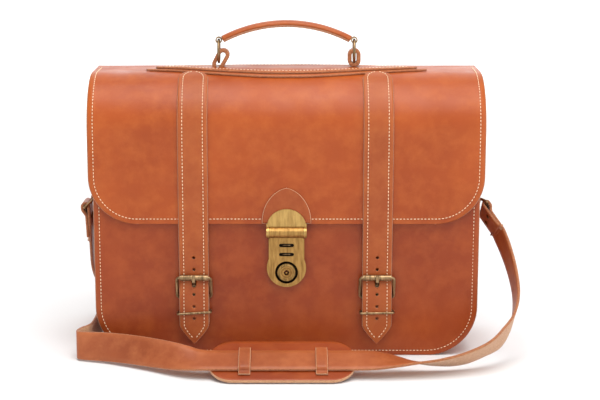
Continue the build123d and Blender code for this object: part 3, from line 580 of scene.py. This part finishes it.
FOLD_RIVET = 11.0
FOLD_WIDTH, FOLD_SKIN = STRAP_WIDTH - 0.5, STRAP_SKIN - 0.1


def turned_back(run):
    """Where the turned-back layer lies: clear of the bar, then in against the strap."""
    f = min(max((run - 2.5) / 8.0, 0.0), 1.0)
    return -FOLD_REACH + (2 * FOLD_REACH - STRAP_SKIN - 0.1) * f * f * (3 - 2 * f)


def strap_end_piece(side):
    """The fold round the ring's bar, its turned-back end, and the strap's first stretch."""
    bar, width, down, beside = strap_end(side)
    line = []
    for i in range(21):
        run = 32.0 * (1 - i / 20)
        slope = (turned_back(run + 0.1) - turned_back(run - 0.1)) / 0.2
        line.append((unit(-beside + down * slope), beside * turned_back(run) + down * run))
    for i in range(1, 12):
        a = math.pi * i / 12
        out = -beside * math.cos(a) - down * math.sin(a)
        line.append((out, out * FOLD_REACH))
    for i in range(8):
        line.append((beside, beside * FOLD_REACH + down * (2.0 * i)))
    frames = [((bar + at) * MM, width, out, None) for out, at in line]
    own = FRAMES[:FIRST + 1] if side == "right" else FRAMES[LAST:][::-1]
    for c, w, n, along in own[1:]:
        facing = n if n.dot(frames[-1][2]) > 0 else -n
        frames.append((c, w, facing, along))
    piece = strip(f"strap_end_{side}", frames, FOLD_WIDTH, FOLD_SKIN, [STRAP, RAW, EDGE])
    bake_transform(piece)
    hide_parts(f"strap_fold_{side}")
    studs = fold_rivets(side)
    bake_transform(studs)
    return piece, studs


def fold_rivets(side):
    """Domed rivet heads on both faces of the fold."""
    bar, width, down, beside = strap_end(side)
    faces_at = {1: FOLD_REACH + STRAP_SKIN / 2 - 0.1, -1: turned_back(FOLD_RIVET) - STRAP_SKIN / 2 + 0.1}
    verts, faces = [], []
    for x in (-7, 7):
        for way in (-1, 1):
            centre = bar + width * x + down * FOLD_RIVET + beside * faces_at[way]
            base = len(verts)
            for radius, rise in ((2.5, 0.0), (2.45, 0.35), (2.0, 0.65), (1.2, 0.82), (0.4, 0.88)):
                for k in range(16):
                    a = math.pi * k / 8
                    at = centre + (width * math.cos(a) + down * math.sin(a)) * radius
                    verts.append((at + beside * (way * rise)) * MM)
            faces += tube_faces(base, 5, 16)
    studs = fit_normals(add_mesh(f"fold_rivets_{side}", verts, faces, [DARK]))
    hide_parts("strap_rivets")
    return studs


# ---- the pad on the strap ----
PAD_TILT = math.radians(22.0)
PAD_ORIGIN = Vector((-4.3, -113.4, 11.8))
PAD_U = Vector((1, 0, 0))
PAD_V = Vector((0, math.cos(PAD_TILT), math.sin(PAD_TILT)))
PAD_N = Vector((0, -math.sin(PAD_TILT), math.cos(PAD_TILT)))
PAD_HALF, PAD_WIDE, PAD_ROUND, PAD_THICK = 71.0, 29.7, 24.0, 4.0


def pad_point(u, v, n):
    return (PAD_ORIGIN + PAD_U * u + PAD_V * v + PAD_N * n) * MM


def pad_edge(u):
    """Half the pad's width at u."""
    over = abs(u) - (PAD_HALF - PAD_ROUND)
    if over <= 0:
        return PAD_WIDE
    return PAD_WIDE - PAD_ROUND + math.sqrt(max(PAD_ROUND * PAD_ROUND - over * over, 0.0))


def make_pad():
    grid, normals = [], []
    for i in range(61):
        u = PAD_HALF * math.sin(math.pi / 2 * (i / 30 - 1)) * 0.9995
        row, ns = [], []
        for j in range(25):
            t = j / 12 - 1
            v = pad_edge(u) * t
            rise = noise.noise(Vector((u * 0.03, v * 0.05, 4.2))) * 0.25
            row.append(pad_point(u, v, PAD_THICK / 2 - 0.2 + rise * (1 - abs(t))))
            ns.append(PAD_N.copy())
        grid.append(row)
        normals.append(ns)
    pad = fit_normals(plate("pad", grid, normals, (PAD_THICK - 0.5) * MM, [FRONT_SHADED, LINING, RAW], 0.2))
    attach(pad, "bag")
    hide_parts("shoulder_pad")
    return pad


def make_bridge(side):
    low, high = corner_box(f"pad_bridge_{side}")
    u = (low.x + high.x) / 2 - PAD_ORIGIN.x
    points = [(-22.4, 4.95), (-18.6, 4.95), (-17.2, 5.6), (-16.4, 8.6), (-13, 9.0), (0, 9.3)]
    points += [(9, 9.0), (11.8, 8.6), (12.7, 5.6), (14.0, 4.95), (17.8, 4.95)]
    line = bend_line(points, 2)
    frames = []
    for i, (v, n) in enumerate(line):
        a, b = line[max(i - 1, 0)], line[min(i + 1, len(line) - 1)]
        along = unit(PAD_V * (b[0] - a[0]) + PAD_N * (b[1] - a[1]))
        frames.append((pad_point(u, v, n), PAD_U, along.cross(PAD_U) * -1, along))
    piece = strip(f"bridge_{side}", frames, 11.5, 1.9, [STRAP, RAW, RAW])
    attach(piece, "bag")
    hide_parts(f"pad_bridge_{side}")
    return piece


pad = make_pad()
bridges = [make_bridge(side) for side in SIDES]
ends = [strap_end_piece(side) for side in SIDES]


# ---- the body: back and flap are one hide, then front panel and gusset ----
def back_and_flap():
    """One sheet up the back, over the top and down the front."""
    mid = FLAP_SKIN / 2
    back_y = BACK_HIGH.y - PANEL_SKIN / 2
    rows = []
    turn = 5.0
    top_z = TOP - mid
    for i in range(15):
        z = BODY_ROUND * (1 - math.cos(math.pi / 2 * i / 14))
        rows.append(((back_y, max(z, FOOT)), (1, 0), corner_reach(BODY_HALF, BODY_ROUND, z)))
    for z in rows_between(BODY_ROUND, top_z - turn, 22)[1:]:
        rows.append(((back_y, z), (1, 0), BODY_HALF))
    for i in range(1, 8):
        a = math.pi / 2 * i / 8
        out = (math.cos(a), math.sin(a))
        half = BODY_HALF + (FLAP_HALF - BODY_HALF) * i / 8
        rows.append(((back_y - turn + out[0] * turn, top_z - turn + out[1] * turn), out, half))
    first = FLAP_HIGH.y - (back_y - turn)
    for s in rows_between(first, TOP_RUN, 14) + rows_between(TOP_RUN, TOP_RUN + ARC_RUN, 22)[1:]:
        rows.append((*flap_at(s, -mid), FLAP_HALF))
    for s in rows_between(TOP_RUN + ARC_RUN, FLAP_RUN - FLAP_CORNER, 10)[1:]:
        rows.append((*flap_at(s, -mid), FLAP_HALF))
    for i in range(1, 19):
        d = FLAP_CORNER * (1 - math.sin(math.pi / 2 * i / 18))
        rows.append((*flap_at(FLAP_RUN - d, -mid), corner_reach(FLAP_HALF, FLAP_CORNER, d)))
    grid, normals = [], []
    for (y, z), (ny, nz), half in rows:
        row, ns = [], []
        for j in range(81):
            x = half * (j / 40 - 1)
            lift = ripple(x, y, z) if y < 45 else ripple(x, y, z) * 0.5 * min(z / 40, 1)
            row.append(vec(x, y + ny * lift, z + nz * lift))
            ns.append(Vector((0, ny, nz)).normalized())
        grid.append(row)
        normals.append(ns)
    sheet = fit_normals(plate("back_and_flap", grid, normals, STRIP_SKIN * MM, [BODY, LINING, EDGE]))
    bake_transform(sheet)
    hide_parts("back_panel", "flap_panel")


def flap_stitches():
    """A row just inside the flap's free edge, down one side, along the front and up the other."""
    half, round_ = FLAP_HALF - SEAM_INSET, FLAP_CORNER - SEAM_INSET
    end = FLAP_RUN - SEAM_INSET
    left = [(-half, s) for s in rows_between(22, end - round_, 60)]
    for i in range(1, 20):
        a = math.pi / 2 * i / 20
        left.append((-half + round_ * (1 - math.cos(a)), end - round_ + round_ * math.sin(a)))
    line = left + [(x, end) for x in rows_between(-half + round_, half - round_, 60)]
    line += [(-x, s) for x, s in left[::-1]]
    places = [on_flap(x, s, 0.05) for x, s in line if not in_the_way(x, s)]
    stitches("flap_stitches", places, "flap")


def in_the_way(x, s):
    """Where a band or the lock's patch covers the flap's own stitches."""
    covered = abs(x) < PATCH_HALF or any(abs(x - BAND_X[side]) < BAND_HALF for side in SIDES)
    return s > FLAP_RUN - 12 and covered


def front():
    y = FRONT_FACE + PANEL_SKIN / 2
    grid, normals = [], []
    heights = [BODY_ROUND * (1 - math.cos(math.pi / 2 * i / 18)) for i in range(19)]
    heights += rows_between(BODY_ROUND, FRONT_HIGH.z, 34)[1:]
    for z in heights:
        reach = corner_reach(BODY_HALF, BODY_ROUND, z) if z < BODY_ROUND else BODY_HALF
        row = []
        for j in range(81):
            x = reach * (j / 40 - 1)
            calm = max(math.exp(-(((abs(x) - 92) / 30) ** 4)), math.exp(-((x / 40) ** 4)))
            dip = noise.noise(Vector((x * 0.012, 5.1, z * 0.013))) * 0.8 * (1 - calm)
            row.append(vec(x, y + max(dip, -0.4), max(z, FOOT)))
        grid.append(row)
        normals.append([Vector((0, -1, 0))] * 81)
    panel = fit_normals(plate("front", grid, normals, PANEL_SKIN * MM, [FRONT_SHADED, LINING, EDGE]))
    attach(panel, "bag")
    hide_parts("front_panel")


def seam(name, face_y, out_y, top):
    """The row that sews a panel to the gusset: down one side, along the bottom and up the other."""
    half, r = BODY_HALF - SEAM_INSET, BODY_ROUND - SEAM_INSET
    line = [(-half, z) for z in rows_between(top, BODY_ROUND, 50)]
    for i in range(1, 20):
        a = math.pi / 2 * i / 20
        line.append((-half + r * (1 - math.cos(a)), SEAM_INSET + r * (1 - math.sin(a))))
    line += [(x, SEAM_INSET) for x in rows_between(-half + r, half - r, 60)]
    line += [(-x, z) for x, z in line[:70]][::-1]
    places = []
    for x, z in line:
        lift = ripple(x, face_y, z) * 0.5 * min(z / 40, 1) if out_y > 0 else 0.0
        places.append((vec(x, face_y + out_y * (lift + 0.05), z), Vector((0, out_y, 0))))
    stitches(name, places, "bag")


def side_outline(off):
    """The bag's outline from the front, off inside it: (x, z) and the outward way, left to right."""
    half, r = BODY_HALF - off, BODY_ROUND - off
    top = corner_box("gusset")[1].z
    line = [((-half, z), (-1, 0)) for z in rows_between(top, BODY_ROUND, 26)]
    for i in range(1, 16):
        a = math.pi / 2 * i / 16
        out = (-math.cos(a), -math.sin(a))
        line.append(((-half + r + out[0] * r, BODY_ROUND + out[1] * r), out))
    line += [((x, off), (0, -1)) for x in rows_between(-half + r, half - r, 24)]
    mirrored = [((-x, z), (-a, b)) for (x, z), (a, b) in line[:41]][::-1]
    return line + mirrored


def gusset():
    skin = 2.6
    back_y, front_y = BACK_LOW.y, FRONT_HIGH.y
    grid, normals = [], []
    for (x, z), (nx, nz) in side_outline(skin / 2):
        row = []
        for j in range(21):
            t = j / 20
            y = front_y + (back_y - front_y) * t
            middle = math.sin(math.pi * t)
            sink = 0.0
            if abs(nx) > 0.99:
                sink = 7.5 * middle**1.3 * max(min((z - 178) / 62, 1), 0) ** 1.4
                low = math.exp(-(((z - 85) / 38) ** 2))
                sink += 1.3 * middle * low * (1 + noise.noise(Vector((x, y * 0.02, z * 0.03))))
            row.append(vec(x - nx * sink, y, z))
        grid.append(row)
        normals.append([Vector((nx, 0, nz)).normalized()] * 21)
    strip_ = fit_normals(plate("gusset_strip", grid, normals, skin * MM, [BODY, LINING, EDGE]))
    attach(strip_, "bag")
    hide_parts("gusset")


back_and_flap()
flap_stitches()
front()
gusset()
seam("front_stitches", FRONT_FACE, -1, FRONT_HIGH.z - 4)
seam("back_stitches", BACK_HIGH.y + 0.05, 1, corner_box("gusset")[1].z - 4)


# ---- bands and tails ----
FIRST_HOLE_Z, HOLE_PITCH, PRONG_HOLE = 103.4, 12.4, 2  # the buckle's prong comes through the third hole
BAR_Z = 62.0  # the buckle's hinge bar


def tail_line():
    """(y, z) of the tail's middle, from the flap's lower edge down to the tip."""
    bar_y = FRONT_FACE - 3.5
    over = bar_y - 5.25
    front_y = OUTER_Y - BAND_RISE
    points = [(front_y, EDGE_Z), (front_y, 122), (bar_y - 1.1, 98), (bar_y - 0.5, 86.3)]
    points += [(bar_y - 0.6, 81.3), (over, BAR_Z + 6.5), (over, 48), (over, TAIL_TIP)]
    return bend_line(points, 2)


def band_rows():
    """Rows of the band and tail: a point in (y, z), the outward way, and half the width."""
    rows = []
    start = FLAP_HIGH.y + 9.4
    for i in range(13):
        d = BAND_HALF * (1 - math.cos(math.pi / 2 * i / 12))
        half = math.sqrt(max(BAND_HALF**2 - (BAND_HALF - d) ** 2, 0.05))
        rows.append((*flap_at(start + d, BAND_RISE), half, start + d))
    for s in rows_between(start + BAND_HALF, FLAP_RUN, 60)[1:]:
        rows.append((*flap_at(s, BAND_RISE), BAND_HALF, s))
    line = tail_line()
    dense = []
    for a, b in zip(line, line[1:]):
        steps = max(int(math.dist(a, b) / 2.0), 1)
        dense += [(a[0] + (b[0] - a[0]) * i / steps, a[1] + (b[1] - a[1]) * i / steps) for i in range(steps)]
    dense.append(line[-1])
    for i in range(1, len(dense)):
        (y0, z0), (y1, z1) = dense[i - 1], dense[min(i + 1, len(dense) - 1)]
        length = math.hypot(y1 - y0, z1 - z0)
        out = ((z1 - z0) / length, -(y1 - y0) / length)
        rows.append((dense[i], out, narrowing(dense[i][1], TAIL_TIP, TAIL_TAPER, BAND_HALF), None))
    return rows


def band(side):
    x0 = BAND_X[side]
    grid, normals = [], []
    for (y, z), (ny, nz), half, s in band_rows():
        row, ns = [], []
        for j in range(17):
            x = x0 + half * (j / 8 - 1)
            lift = ripple(x, y, z) * (1 if s is not None else max((z - 118) / 20, 0))
            row.append(vec(x, y + ny * lift, z + nz * lift))
            ns.append(Vector((0, ny, nz)))
        grid.append(row)
        normals.append(ns)
    obj = fit_normals(plate(f"band_and_tail_{side}", grid, normals, STRIP_SKIN * MM, [BAND, RAW, EDGE], 0.2))
    cutters = []
    for number in range(6):
        z = FIRST_HOLE_Z - number * HOLE_PITCH
        if number == PRONG_HOLE:
            cutters.append(punch(x0, z - 1.0, 2.3, 9.0))
        else:
            cutters.append(punch(x0, z, 1.6, 3.2))
    cut_away(obj, cutters)
    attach(obj, "flap")
    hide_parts(f"band_{side}", f"tail_{side}")
    for sign in (-1, 1):
        line = []
        for (y, z), (ny, nz), half, s in band_rows():
            if half < 4.3:
                continue
            x = x0 + sign * (half - 4.2)
            off = BAND_RISE if s is not None else 1.5
            lift = ripple(x, y, z) * (1 if s is not None else max((z - 118) / 20, 0))
            line.append((vec(x, y + ny * (lift + off), z + nz * (lift + off)), Vector((0, ny, nz))))
        stitches(f"band_stitches_{side}_{'outer' if sign > 0 else 'inner'}", line, "flap")


def cut_away(obj, cutters):
    for cutter in cutters:
        cut = obj.modifiers.new("punch", "BOOLEAN")
        cut.object = cutter
        cut.solver = "EXACT"
    bpy.context.view_layer.update()
    made = bpy.data.meshes.new_from_object(obj.evaluated_get(bpy.context.evaluated_depsgraph_get()))
    obj.modifiers.clear()
    obj.data = made
    for cutter in cutters:
        bpy.data.objects.remove(cutter)


def punch(x, z, radius, height):
    """A rounded-slot cutter through the tail."""
    verts, ring = [], []
    flat = max(height / 2 - radius, 0)
    for i in range(20):
        a = 2 * math.pi * i / 20
        shift = flat if math.sin(a) >= 0 else -flat
        ring.append((x + radius * math.cos(a), z + shift + radius * math.sin(a)))
    for y in (FRONT_FACE - 20, FRONT_FACE + 1):
        verts += [vec(a, y, b) for a, b in ring]
    return fit_normals(add_mesh("punch", verts, tube_faces(0, 2, 20), [EDGE]))


def narrowing(z, tip, taper, half):
    """Half the width of a pointed strap end at height z."""
    if z >= tip + taper:
        return half
    f = max((z - tip) / taper, 0.0)
    return max(half * (1 - (1 - f) ** 1.3), 0.3)


def chape(side):
    """The strap that holds the buckle: two layers round its hinge bar, with packing between."""
    low, high = corner_box(f"chape_{side}")
    middle, half = (low.x + high.x) / 2, (high.x - low.x) / 2
    outer = (high.y - low.y) / 2
    bar_y, bar_z = (high.y + low.y) / 2, high.z - outer
    layer, tip, join = 1.45, low.z + 0.2, 29.3
    reach = outer - layer / 2 - 0.05
    line = [((bar_y - reach, z), (-1, 0)) for z in rows_between(tip, bar_z, 24)]
    for i in range(1, 12):
        a = math.pi * i / 12
        out = (-math.cos(a), math.sin(a))
        line.append(((bar_y + out[0] * reach, bar_z + out[1] * reach), out))
    line += [((bar_y + reach, z), (1, 0)) for z in rows_between(tip, bar_z, 24)[::-1]]
    packing = [((bar_y, z), (-1, 0)) for z in rows_between(tip, join, 10)]
    made = []
    for name, rows, skin, mats in (
        ("chape", line, layer, [BAND, RAW, EDGE]),
        ("chape_packing", packing, 2 * reach - layer - 0.05, [RAW, RAW, EDGE]),
    ):
        grid, normals = [], []
        for (y, z), (ny, nz) in rows:
            wide = narrowing(z, tip, TAIL_TAPER, half - 0.1)
            grid.append([vec(middle + wide * (j / 6 - 1), y, z) for j in range(13)])
            normals.append([Vector((0, ny, nz))] * 13)
        piece = fit_normals(plate(f"{name}_leather_{side}", grid, normals, skin * MM, mats, 0.15))
        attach(piece, "bag")
        made.append(piece)
    cut_away(made[0], [punch(BAND_X[side], bar_z, 3.2, 12.0)])
    for piece in made:
        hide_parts(f"chape_{side}")


for side in SIDES:
    band(side)
    chape(side)


# ---- the lock's patch ----
def patch():
    low, high = corner_box("lock_patch")
    half, rise = (high.x - low.x) / 2 - 0.2, high.z - low.z - 0.2
    grid, normals = [], []
    for i in range(31):
        f = math.sin(math.pi / 2 * i / 30)
        wide = max(half * (1 - f**2.15) ** 0.62, 0.3)
        row = [vec(wide * (j / 12 - 1), high.y - 1.0, low.z + rise * f) for j in range(25)]
        grid.append(row)
        normals.append([Vector((0, -1, 0))] * 25)
    obj = fit_normals(plate("patch", grid, normals, 1.9 * MM, [BAND, RAW, RAW], 0.3))
    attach(obj, "flap")
    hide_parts("lock_patch")


patch()


# ---- the base under the handle ----
def base_layer(node, name, off, skin, inset):
    low, high = corner_box(node)
    half, depth = (high.x - low.x) / 2, (high.y - low.y) / 2
    mid_y = (high.y + low.y) / 2
    radius = (half * half + depth * depth) / (2 * depth)

    def reach(x, shrink=0.0):
        return max(math.sqrt(max(radius**2 - x * x, 0)) - (radius - depth) - shrink, 0.25)

    def place(x, y, height):
        bent = OUTER_Y + ROUND - y
        s = TOP_RUN + ROUND * math.asin(min(bent / ROUND, 1)) if bent >= 0 else FLAP_HIGH.y - y
        return on_flap(x, s, height)

    grid, normals = [], []
    for i in range(91):
        x = half * (i / 45 - 1) * 0.998
        row, ns = [], []
        for j in range(17):
            p, n = place(x, mid_y + reach(x) * (j / 8 - 1), off)
            row.append(p)
            ns.append(n)
        grid.append(row)
        normals.append(ns)
    obj = fit_normals(plate(name, grid, normals, skin * MM, [BAND, RAW, EDGE], 0.2))
    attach(obj, "flap")
    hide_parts(node)
    if inset:
        for sign in (-1, 1):
            line = []
            for i in range(121):
                x = (half - 9) * (i / 60 - 1)
                line.append(place(x, mid_y + sign * reach(x, inset), off + skin / 2))
            stitches(f"{name}_stitches_{'back' if sign > 0 else 'front'}", line, "flap")


base_layer("handle_plate_lower", "base_lower", 1.15, 2.1, 0)
base_layer("handle_plate_upper", "base_upper", 3.4, 2.1, 3.0)


# ---- anchors, side tabs, handle ----
# the loop's height, its lean, and its centre's rise above the ring's foot
ANCHORS = {"left": (24.5, 30.0, 3.0), "right": (18.5, 0.0, 4.85)}
ANCHOR_WIDTH, RING_THICK = 13.0, 1.3


def anchor(side):
    """A leather loop out of the base; the left one leans over and both its legs go in."""
    low, high = corner_box(f"handle_anchor_{side}")
    ring = corner_box(f"handle_ring_{side}")
    height, lean, rise = ANCHORS[side]
    lean = math.radians(lean)
    along = Vector((math.sin(lean), 0, math.cos(lean)))
    beside = Vector((math.cos(lean), 0, -math.sin(lean)))
    hang = Vector(((ring[0].x + ring[1].x) / 2, (low.y + high.y) / 2, ring[0].z + RING_THICK))
    middle, skin = hang + along * rise, 3.9
    half = (ANCHOR_WIDTH - skin) / 2
    flat = (height - ANCHOR_WIDTH) / 2
    frames = []
    for i in range(60):
        a = 2 * math.pi * i / 60 - math.pi / 2
        out = beside * math.cos(a) + along * math.sin(a)
        drop = -math.sin(a) if math.sin(a) < 0 else 0.0
        pinch = 1 - math.sin(lean) * drop**0.5 * 0.9
        at = middle + (beside * math.cos(a) * pinch + along * math.sin(a)) * half
        at += along * (flat if math.sin(a) >= 0 else -flat)
        if at.z > low.z - 0.8:
            frames.append((at * MM, Vector((0, 1, 0)), out))
    width, whole = high.y - low.y - 0.2, len(frames) == 60
    obj = strip(f"anchor_loop_{side}", frames, width, skin, [BAND, RAW, EDGE], closed=whole)
    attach(obj, "flap")
    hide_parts(f"handle_anchor_{side}")


TABS = {
    "right": (Vector((197.0, 12.9, 147.26)), Vector((0.0, 0.775, -0.632))),
    "left": (Vector((-197.0, 6.77, 153.8)), Vector((0.0, 1.0, -0.02))),
}
# (out from the fold's middle, up along the tab)
TAB_LINE = [(-1.8, 24.3), (-1.8, 17.0), (-1.8, 11.0), (-0.6, 7.9), (1.6, 5.0), (3.5, 1.9), (3.7, -0.9)]
TAB_LINE += [(2.45, -3.05), (0.0, -3.85), (-2.4, -3.25), (-3.6, -1.0)]
TAB_LINE += [(-3.6, 3.0), (-3.6, 14.0), (-3.6, 24.3)]


def side_tab(side):
    """A strip folded over the strap's ring, its two layers riveted flat to the gusset."""
    apex, across = TABS[side]
    across = across.normalized()
    outward = Vector((SIDES[side], 0, 0))
    up = Vector((0, -across.z, across.y))
    line = bend_line(TAB_LINE, 2)
    frames = []
    for i, (x, z) in enumerate(line):
        a, b = line[max(i - 1, 0)], line[min(i + 1, len(line) - 1)]
        out = unit(outward * (a[1] - b[1]) + up * (b[0] - a[0]))
        frames.append(((apex + outward * x + up * z) * MM, across, out))
    obj = strip(f"side_tab_leather_{side}", frames, 11.6, 1.5, [BAND, RAW, EDGE])
    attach(obj, "bag")
    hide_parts(f"side_tab_{side}")


def grip():
    """Leather rolled round a core, closed by a sewn ridge underneath."""
    low, high = corner_box("handle_grip")
    radius, top = 140.0, high.z - 3.5
    mid_y = (low.y + high.y) / 2
    reach = math.asin(64.6 / radius)
    rings, steps = 60, 28
    verts = []
    for i in range(rings + 1):
        f = i / rings * 2 - 1
        a = reach * f
        squeeze = 1 - 0.18 * max(abs(f) - 0.82, 0) / 0.18
        c = Vector((radius * math.sin(a), 0, radius * math.cos(a)))
        out = unit(c)
        for j in range(steps):
            b = 2 * math.pi * j / steps
            across, up = math.cos(b) * 7.4 * squeeze, math.sin(b) * 3.2
            if math.sin(b) < -0.9:
                up -= 0.7
            verts.append((c + out * up + Vector((0, across + mid_y, top - radius))) * MM)
    under = [int(math.sin(2 * math.pi * (j + 0.5) / steps) < -0.45) for j in range(steps)]
    faces, index = tube_faces(0, rings + 1, steps), under * rings + [1, 1]
    obj = fit_normals(add_mesh("grip", verts, faces, [BAND, RAW], index))
    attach(obj, "handle")
    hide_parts("handle_grip", "handle_core")
    for sign in (-1, 1):
        line = []
        for i in range(61):
            a = reach * (i / 30 - 1) * 0.95
            out = Vector((math.sin(a), 0, math.cos(a)))
            n = unit(out * -0.8 + Vector((0, sign * 0.3, 0)))
            at = out * (radius - 3.5) + Vector((0, mid_y + sign * 2.6, top - radius))
            line.append((at * MM, n))
        stitches(f"grip_stitches_{'back' if sign > 0 else 'front'}", line, "handle", 4.2, (1.3, 0.36))


for side in SIDES:
    anchor(side)
    side_tab(side)
grip()


SLOT_ZS = (115.8, 106.5)


def slot_inlays():
    """What is seen in the hasp's two slots: a near-black sheet of painted shade with a short raised bar in
    each.
    """
    y = LOCK_FACE + 1.6
    for number, z in enumerate(SLOT_ZS):
        ring = []
        for k in range(24):
            a = math.pi * k / 12
            shift = 5.7 if math.cos(a) >= 0 else -5.7
            ring.append((math.cos(a) * 1.72 + shift, z + math.sin(a) * 1.72))
        verts = [vec(x, y, w) for x, w in ring] + [vec(x, y + 0.8, w) for x, w in ring]
        back = add_mesh(f"slot_back_{number}", verts, tube_faces(0, 2, 24), [SHADE], smooth=False)
        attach(fit_normals(back), "hasp")
        verts = []
        for i in range(13):
            x = 4.0 * (i / 6 - 1)
            radius = 0.55 * math.sqrt(max(1 - (abs(x) / 4.05) ** 6, 0.02))
            for k in range(10):
                a = math.pi * k / 5
                verts.append(vec(x, y - 0.25 + math.sin(a) * radius, z + math.cos(a) * radius))
        bar = fit_normals(add_mesh(f"slot_bar_{number}", verts, tube_faces(0, 13, 10), [BRASS]))
        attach(bar, "hasp")


slot_inlays()


# ---- materials on the CAD pieces that stay ----
def paint(node, mat):
    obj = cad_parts[node]
    if not obj.material_slots:
        obj.data.materials.append(mat)
    for slot_ in obj.material_slots:
        slot_.link = "OBJECT"
        slot_.material = mat


for part in ("lock_hasp", "lock_plug"):
    paint(part, LOCK)
paint("lock_head", HEAD)
for part in ("lock_pin", "lock_nut", "lock_clip", "lock_bolt", "chape_rivets", "tab_rivets"):
    paint(part, DARK)
paint("lock_boss", BOSS)
for side in SIDES:
    for part in ("buckle_frame", "buckle_prong", "buckle_roller", "keeper"):
        paint(f"{part}_{side}", BRASS)
    for part in ("handle_ring", "handle_clip", "d_ring"):
        paint(f"{part}_{side}", BRASS)


# ---- floor and light ----
def studio():
    n = Nodes("floor")
    pale = n.mix(n.noise(n.coords(), 3, 3), rgb(238, 238, 238), rgb(234, 234, 234))
    n.link(pale, n.shader.inputs["Base Color"])
    n.set(Roughness=0.9, Specular_IOR_Level=0.1, Emission_Color=(1.0, 1.0, 1.0, 1.0))
    # the floor fades up into a white surround
    away = n.add("ShaderNodeVectorMath", operation="LENGTH")
    n.link(n.coords(), away.inputs[0])
    n.link(n.spread(away.outputs["Value"], 0.7, 2.2, 0.0, 0.7), n.shader.inputs["Emission Strength"])
    far = 40.0
    corners = [(-far, -far, 0), (far, -far, 0), (far, far, 0), (-far, far, 0)]
    floor = add_mesh("floor", corners, [(0, 1, 2, 3)], [n.mat])
    floor.location.z = -0.0002
    for name, at, size, power in (
        ("key", (0.25, -1.15, 1.9), 1.2, 16.5),
        ("fill", (1.7, -1.0, 1.0), 1.4, 6.5),
        ("top", (0.0, -0.25, 1.9), 1.3, 19),
        ("back", (0.0, 1.8, 1.2), 1.8, 8),
    ):
        light = bpy.data.lights.new(name, "AREA")
        light.size = size
        light.energy = power
        obj = bpy.data.objects.new(name, light)
        bpy.context.scene.collection.objects.link(obj)
        obj.location = at
        obj.rotation_euler = (Vector((0, 0, 0.14)) - Vector(at)).to_track_quat("-Z", "Y").to_euler()
    world = bpy.data.worlds.new("studio")
    bpy.context.scene.world = world
    world.use_nodes = True
    sky = world.node_tree.nodes["Background"]
    sky.inputs["Color"].default_value = (1, 1, 1, 1)
    # white round the horizon, dimmer overhead
    way = world.node_tree.nodes.new("ShaderNodeTexCoord")
    split = world.node_tree.nodes.new("ShaderNodeSeparateXYZ")
    dim = world.node_tree.nodes.new("ShaderNodeMapRange")
    for key, value in zip(("From Min", "From Max", "To Min", "To Max"), (0.15, 0.5, 1.15, 0.6)):
        dim.inputs[key].default_value = value
    for a, b in (
        (way.outputs["Generated"], split.inputs[0]),
        (split.outputs["Z"], dim.inputs["Value"]),
        (dim.outputs["Result"], sky.inputs["Strength"]),
    ):
        world.node_tree.links.new(a, b)


studio()
bpy.context.scene.view_settings.view_transform = "Standard"
